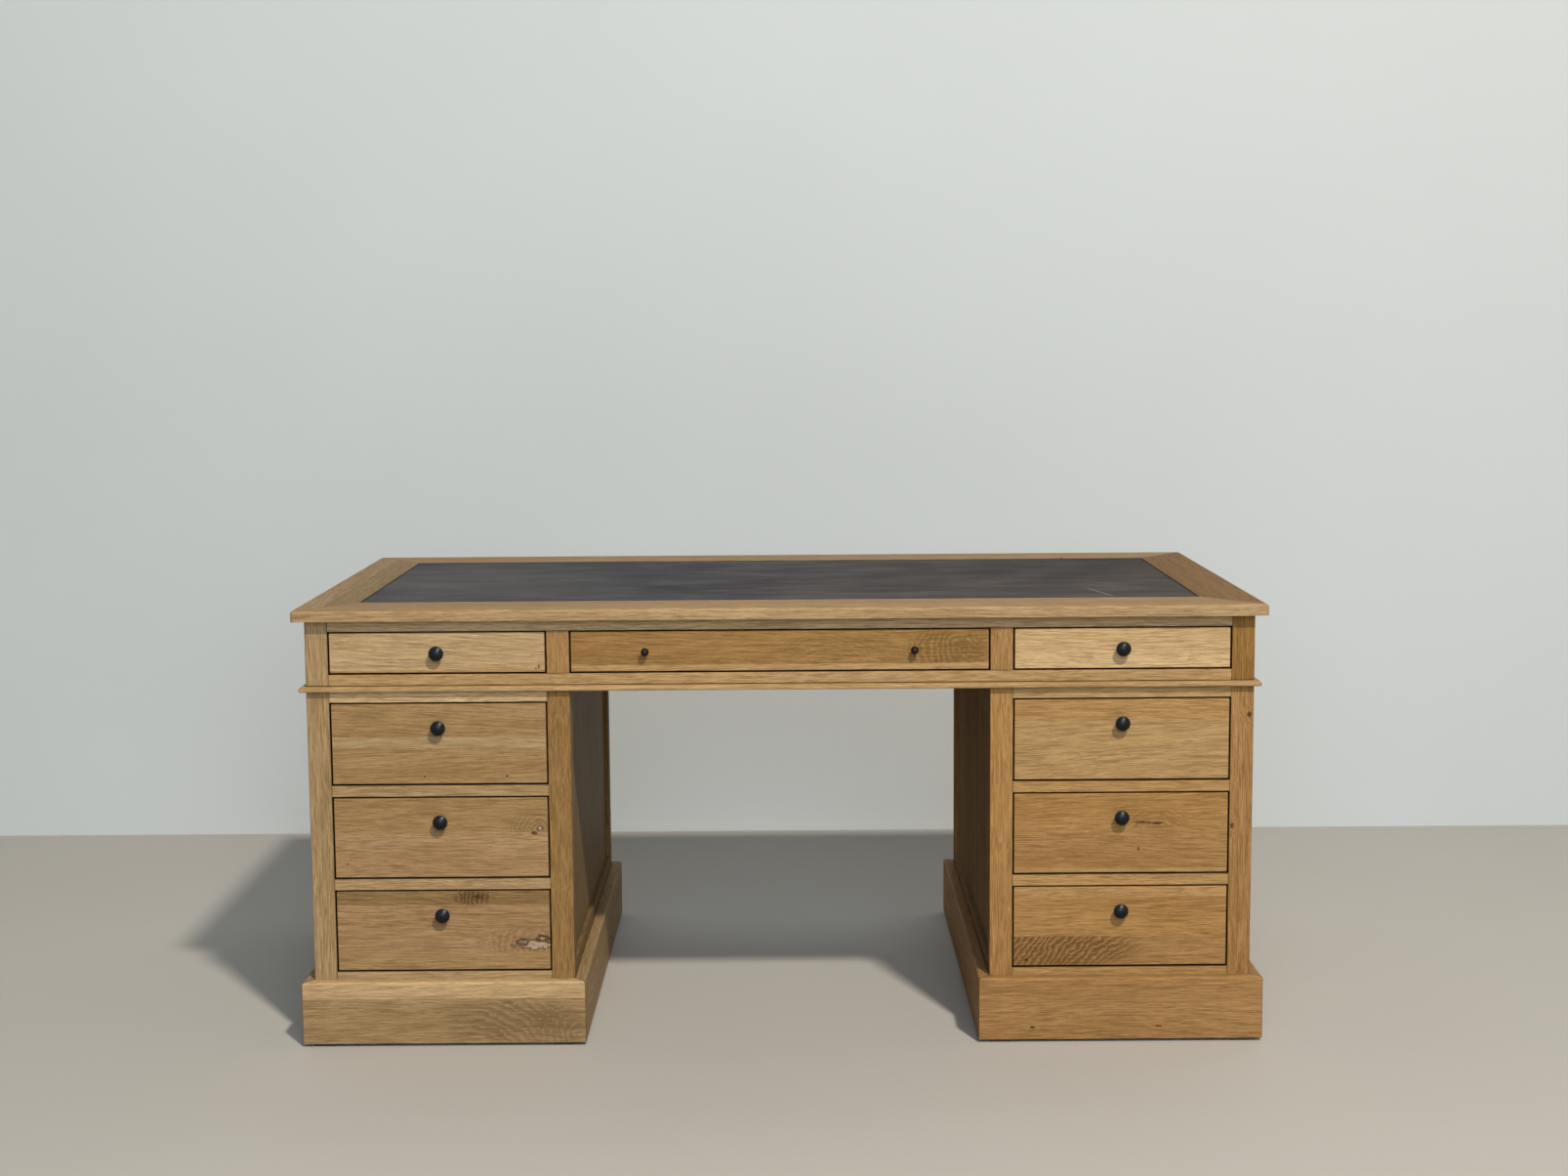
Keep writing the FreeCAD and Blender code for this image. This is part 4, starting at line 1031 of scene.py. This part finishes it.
def turned_mesh(mesh, profile, centre, outward=-1.0):
    """Turns a profile about the line through a place on a drawer's face."""
    points = [mesh.verts.new(centre + Vector((radius, outward * out, 0)) * MM)
              for radius, out in profile]
    outline = [mesh.edges.new(pair) for pair in zip(points, points[1:])]
    bmesh.ops.spin(mesh, geom=points + outline, cent=centre, axis=(0, 1, 0), angle=math.tau,
                   steps=TURNED_STEPS, use_merge=True)
    bmesh.ops.remove_doubles(mesh, verts=mesh.verts, dist=MERGE)
    bmesh.ops.recalc_face_normals(mesh, faces=mesh.faces)


def metal_material(name, colour, rubbed):
    """Blackened metal: satin, faintly mottled, rubbed a little paler in patches."""
    material, surface, place = shader(name)
    roughness = bpy.context.scene.desk_metal.roughness
    mottle = even_noise(place, 220, 4.0, 0.65)
    feed(surface, {
        "Base Color": blended(ramp(mottle, 0.45, 0.8), colour, rubbed),
        "Metallic": 0.12,
        "Specular IOR Level": 0.2,
        "Roughness": plus(times(mottle, 0.25), roughness - 0.12),
        "Normal": bumps(even_noise(place, 1400, 2.0), 0.2, 0.0002)})
    return material


def knob_places(node):
    """The middles of a drawer's knobs, on the face of its front."""
    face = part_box(node.rsplit("_", 1)[0] + "_front")[0].y
    low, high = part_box(node)
    middle = (low + high) / 2
    inset = (high.z - low.z) / 2
    places = (low.x + inset, high.x - inset) if node.endswith("_knobs") else (middle.x,)
    return [Vector((x, face, middle.z)) for x in places]


class DESK_OT_knobs(bpy.types.Operator):
    """Turn the domed knobs and the centre drawer's ball knobs"""
    bl_idname = "desk.knobs"
    bl_label = "Knobs"

    def execute(self, context):
        settings = bpy.context.scene.desk_metal
        black = metal_material("blackened_metal", settings.colour, settings.rubbed)
        browned = metal_material("browned_metal", settings.ball, toned(settings.ball, 1.8))
        for node in KNOB_NODES:
            ball = node.endswith("_knobs")
            profile, metal = (BALL_PROFILE, browned) if ball else (DOMED_PROFILE, black)
            mesh = bmesh.new()
            for centre in knob_places(node):
                turned_mesh(mesh, profile, centre)
            piece = show(mesh, f"turned_{node}", node, metal)
            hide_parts(node)
        return {"FINISHED"}


class DESK_OT_screws(bpy.types.Operator):
    """Put the slotted heads of the knobs' screws inside the drawers"""
    bl_idname = "desk.screws"
    bl_label = "Knob Screws"

    def execute(self, context):
        metal = bpy.data.materials["blackened_metal"]
        radius = bpy.context.scene.desk_metal.screw_head / 2 / MM
        profile = ((0, 0), (radius, 0), (radius, 0.6), (radius * 0.9, 1.2), (radius * 0.6, 1.8),
                   (radius * 0.3, 2.05), (0, 2.1))
        for node in KNOB_NODES:
            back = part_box(node.rsplit("_", 1)[0] + "_front")[1].y
            mesh = bmesh.new()
            for centre in knob_places(node):
                centre.y = back
                turned_mesh(mesh, profile, centre, outward=1.0)
                cut_slot(mesh, centre, radius * MM)
            show(mesh, f"screws_{node}", node, metal)
        return {"FINISHED"}


def cut_slot(mesh, centre, radius):
    """Sinks a screwdriver's slot across a head."""
    sides = [(centre + Vector((x, 0, 0)), (1, 0, 0)) for x in (-SLOT_HALF, SLOT_HALF)]
    flat_cuts(mesh, sides, MERGE / 10)
    floor = centre.y + SLOT_FLOOR
    for corner in mesh.verts:
        near = (corner.co - centre).length < radius * 1.2
        if near and abs(corner.co.x - centre.x) < SLOT_HALF * 0.98 and corner.co.y > floor:
            corner.co.y = floor


# The stage, in metres

FLOOR_SIZE = (14, 14)
BACKDROP_SIZE = (14, 5)
BACKDROP_PLACE = (0, 1.25, 2.5)
LIGHT_AIM = (0, -0.4, 0.5)
# The lamps: where each stands, how far across it is, its colour
KEY_LAMP = ((2.4, -5.9, 7.2), 0.6, (1.0, 0.92, 0.79))
FILL_LAMP = ((0.2, -5.6, 2.5), 3.2, (0.8, 0.92, 1.0))
# The photographer's camera: where it stood, its turns in degrees, and its lens
CAMERA_PLACE = (0.0115, -4.34763, 1.27216)
CAMERA_TURNS = ((0.0481, "Z"), (-6.701, "X"), (0.4103, "Y"), (90, "X"))
FRAME_PIXELS, FOCAL_PIXELS, SENSOR = 1606, 2320.5, 36.0
VIEW_END = 60


class DESK_OT_stage(bpy.types.Operator):
    """Set the pale floor and backdrop, the soft lamps, the room light and the camera"""
    bl_idname = "desk.stage"
    bl_label = "Stage"

    def execute(self, context):
        settings = context.scene.desk_stage
        floor = plain_material("floor_paint", settings.floor)
        wall = plain_material("backdrop_paint", settings.wall, clear_behind=True)
        add_sheet("studio_floor", (0, 0, 0), FLOOR_SIZE, 0, floor)
        add_sheet("studio_backdrop", BACKDROP_PLACE, BACKDROP_SIZE, math.pi / 2, wall)
        lamp("key_lamp", settings.key, *KEY_LAMP)
        lamp("fill_lamp", settings.fill, *FILL_LAMP)
        context.scene.world = room_light(settings)
        context.scene.view_settings.view_transform = "Standard"
        add_camera(context.scene)
        return {"FINISHED"}


def room_light(settings):
    """Dim even light from all round, which a camera or a shiny surface sees as a pale wall."""
    world = bpy.data.worlds.new("studio")
    world.use_nodes = True
    tree = world.node_tree
    rays = new_node(tree, "ShaderNodeLightPath").outputs
    seen = sums("MAXIMUM", rays["Is Camera Ray"], rays["Is Glossy Ray"])
    seen = sums("MAXIMUM", seen, rays["Is Transmission Ray"])
    colour = blended(seen, (settings.sky,) * 3, settings.wall)
    feed(tree.nodes["Background"], {"Color": colour, "Strength": 1})
    return world


def add_sheet(name, centre, size, tilt, material):
    """A flat sheet of the stage."""
    mesh = bmesh.new()
    bmesh.ops.create_grid(mesh, x_segments=1, y_segments=1, size=0.5)
    bmesh.ops.scale(mesh, vec=(*size, 1), verts=mesh.verts)
    bmesh.ops.rotate(mesh, cent=(0, 0, 0), matrix=Matrix.Rotation(tilt, 3, "X"), verts=mesh.verts)
    bmesh.ops.translate(mesh, vec=centre, verts=mesh.verts)
    sheet = piece_of(mesh, name, material)


def plain_material(name, colour, clear_behind=False):
    """Matt paint with a faint unevenness, which on the backdrop is clear from behind."""
    material, surface, place = shader(name)
    cloudy = even_noise(place, 1.5)
    feed(surface, {"Base Color": blended(cloudy, toned(colour, 0.94), colour), "Roughness": 0.8})
    if clear_behind:
        tree = material.node_tree
        behind = new_node(tree, "ShaderNodeNewGeometry").outputs["Backfacing"]
        clear = new_node(tree, "ShaderNodeBsdfTransparent").outputs[0]
        both = put("ShaderNodeMixShader", {0: behind, 1: surface.outputs[0], 2: clear})
        feed(tree.nodes["Material Output"], {"Surface": both.outputs[0]})
    return material


def lamp(name, power, place, across, colour):
    """A round lamp that points at the desk."""
    data = bpy.data.lights.new(name, "AREA")
    data.shape = "DISK"
    data.size = across
    data.energy = power
    data.color = colour
    light = bpy.data.objects.new(name, data)
    light.location = place
    light.rotation_euler = (Vector(LIGHT_AIM) - light.location).to_track_quat("-Z", "Y").to_euler()
    bpy.context.scene.collection.objects.link(light)


def add_camera(scene):
    """The camera, standing and aimed as the photographer's was."""
    data = bpy.data.cameras.new("photo_camera")
    data.sensor_width = SENSOR
    data.lens = SENSOR * FOCAL_PIXELS / FRAME_PIXELS
    data.clip_end = VIEW_END
    camera = bpy.data.objects.new("photo_camera", data)
    place = Matrix.Translation(CAMERA_PLACE)
    for degrees, axis in CAMERA_TURNS:
        place @= Matrix.Rotation(math.radians(degrees), 4, axis)
    camera.matrix_world = place
    scene.collection.objects.link(camera)
    scene.camera = camera


STEPS = (DESK_OT_top_boards, DESK_OT_leather, DESK_OT_frieze, DESK_OT_bead, DESK_OT_pedestals,
         DESK_OT_plinths, DESK_OT_drawer_fronts, DESK_OT_drawer_boxes, DESK_OT_inner_timber,
         DESK_OT_glides, DESK_OT_knobs, DESK_OT_screws, DESK_OT_stage)


class DESK_PT_finish(bpy.types.Panel):
    """The desk's sizes, colours and steps"""
    bl_idname = "DESK_PT_finish"
    bl_label = "Desk"
    bl_space_type = "VIEW_3D"
    bl_region_type = "UI"
    bl_category = "Desk"

    def draw(self, context):
        for title, group in SETTINGS.items():
            box = self.layout.box()
            box.label(text=title.replace("_", " ").title())
            for name in group.__annotations__:
                box.prop(getattr(context.scene, title), name)
        for step in STEPS:
            self.layout.operator(step.bl_idname)


SETTINGS = {
    "desk_oak": DeskOakSettings,
    "desk_leather": DeskLeatherSettings,
    "desk_metal": DeskMetalSettings,
    "desk_stage": DeskStageSettings,
}


def register():
    for name, group in SETTINGS.items():
        bpy.utils.register_class(group)
        setattr(bpy.types.Scene, name, PointerProperty(type=group))
    for kind in (*STEPS, DESK_PT_finish):
        bpy.utils.register_class(kind)


def unregister():
    for kind in reversed((*STEPS, DESK_PT_finish)):
        bpy.utils.unregister_class(kind)
    for name, group in SETTINGS.items():
        delattr(bpy.types.Scene, name)
        bpy.utils.unregister_class(group)


def main():
    register()
    for step in STEPS:
        group, action = step.bl_idname.split(".")
        getattr(getattr(bpy.ops, group), action)()


if __name__ == "__main__":
    main()
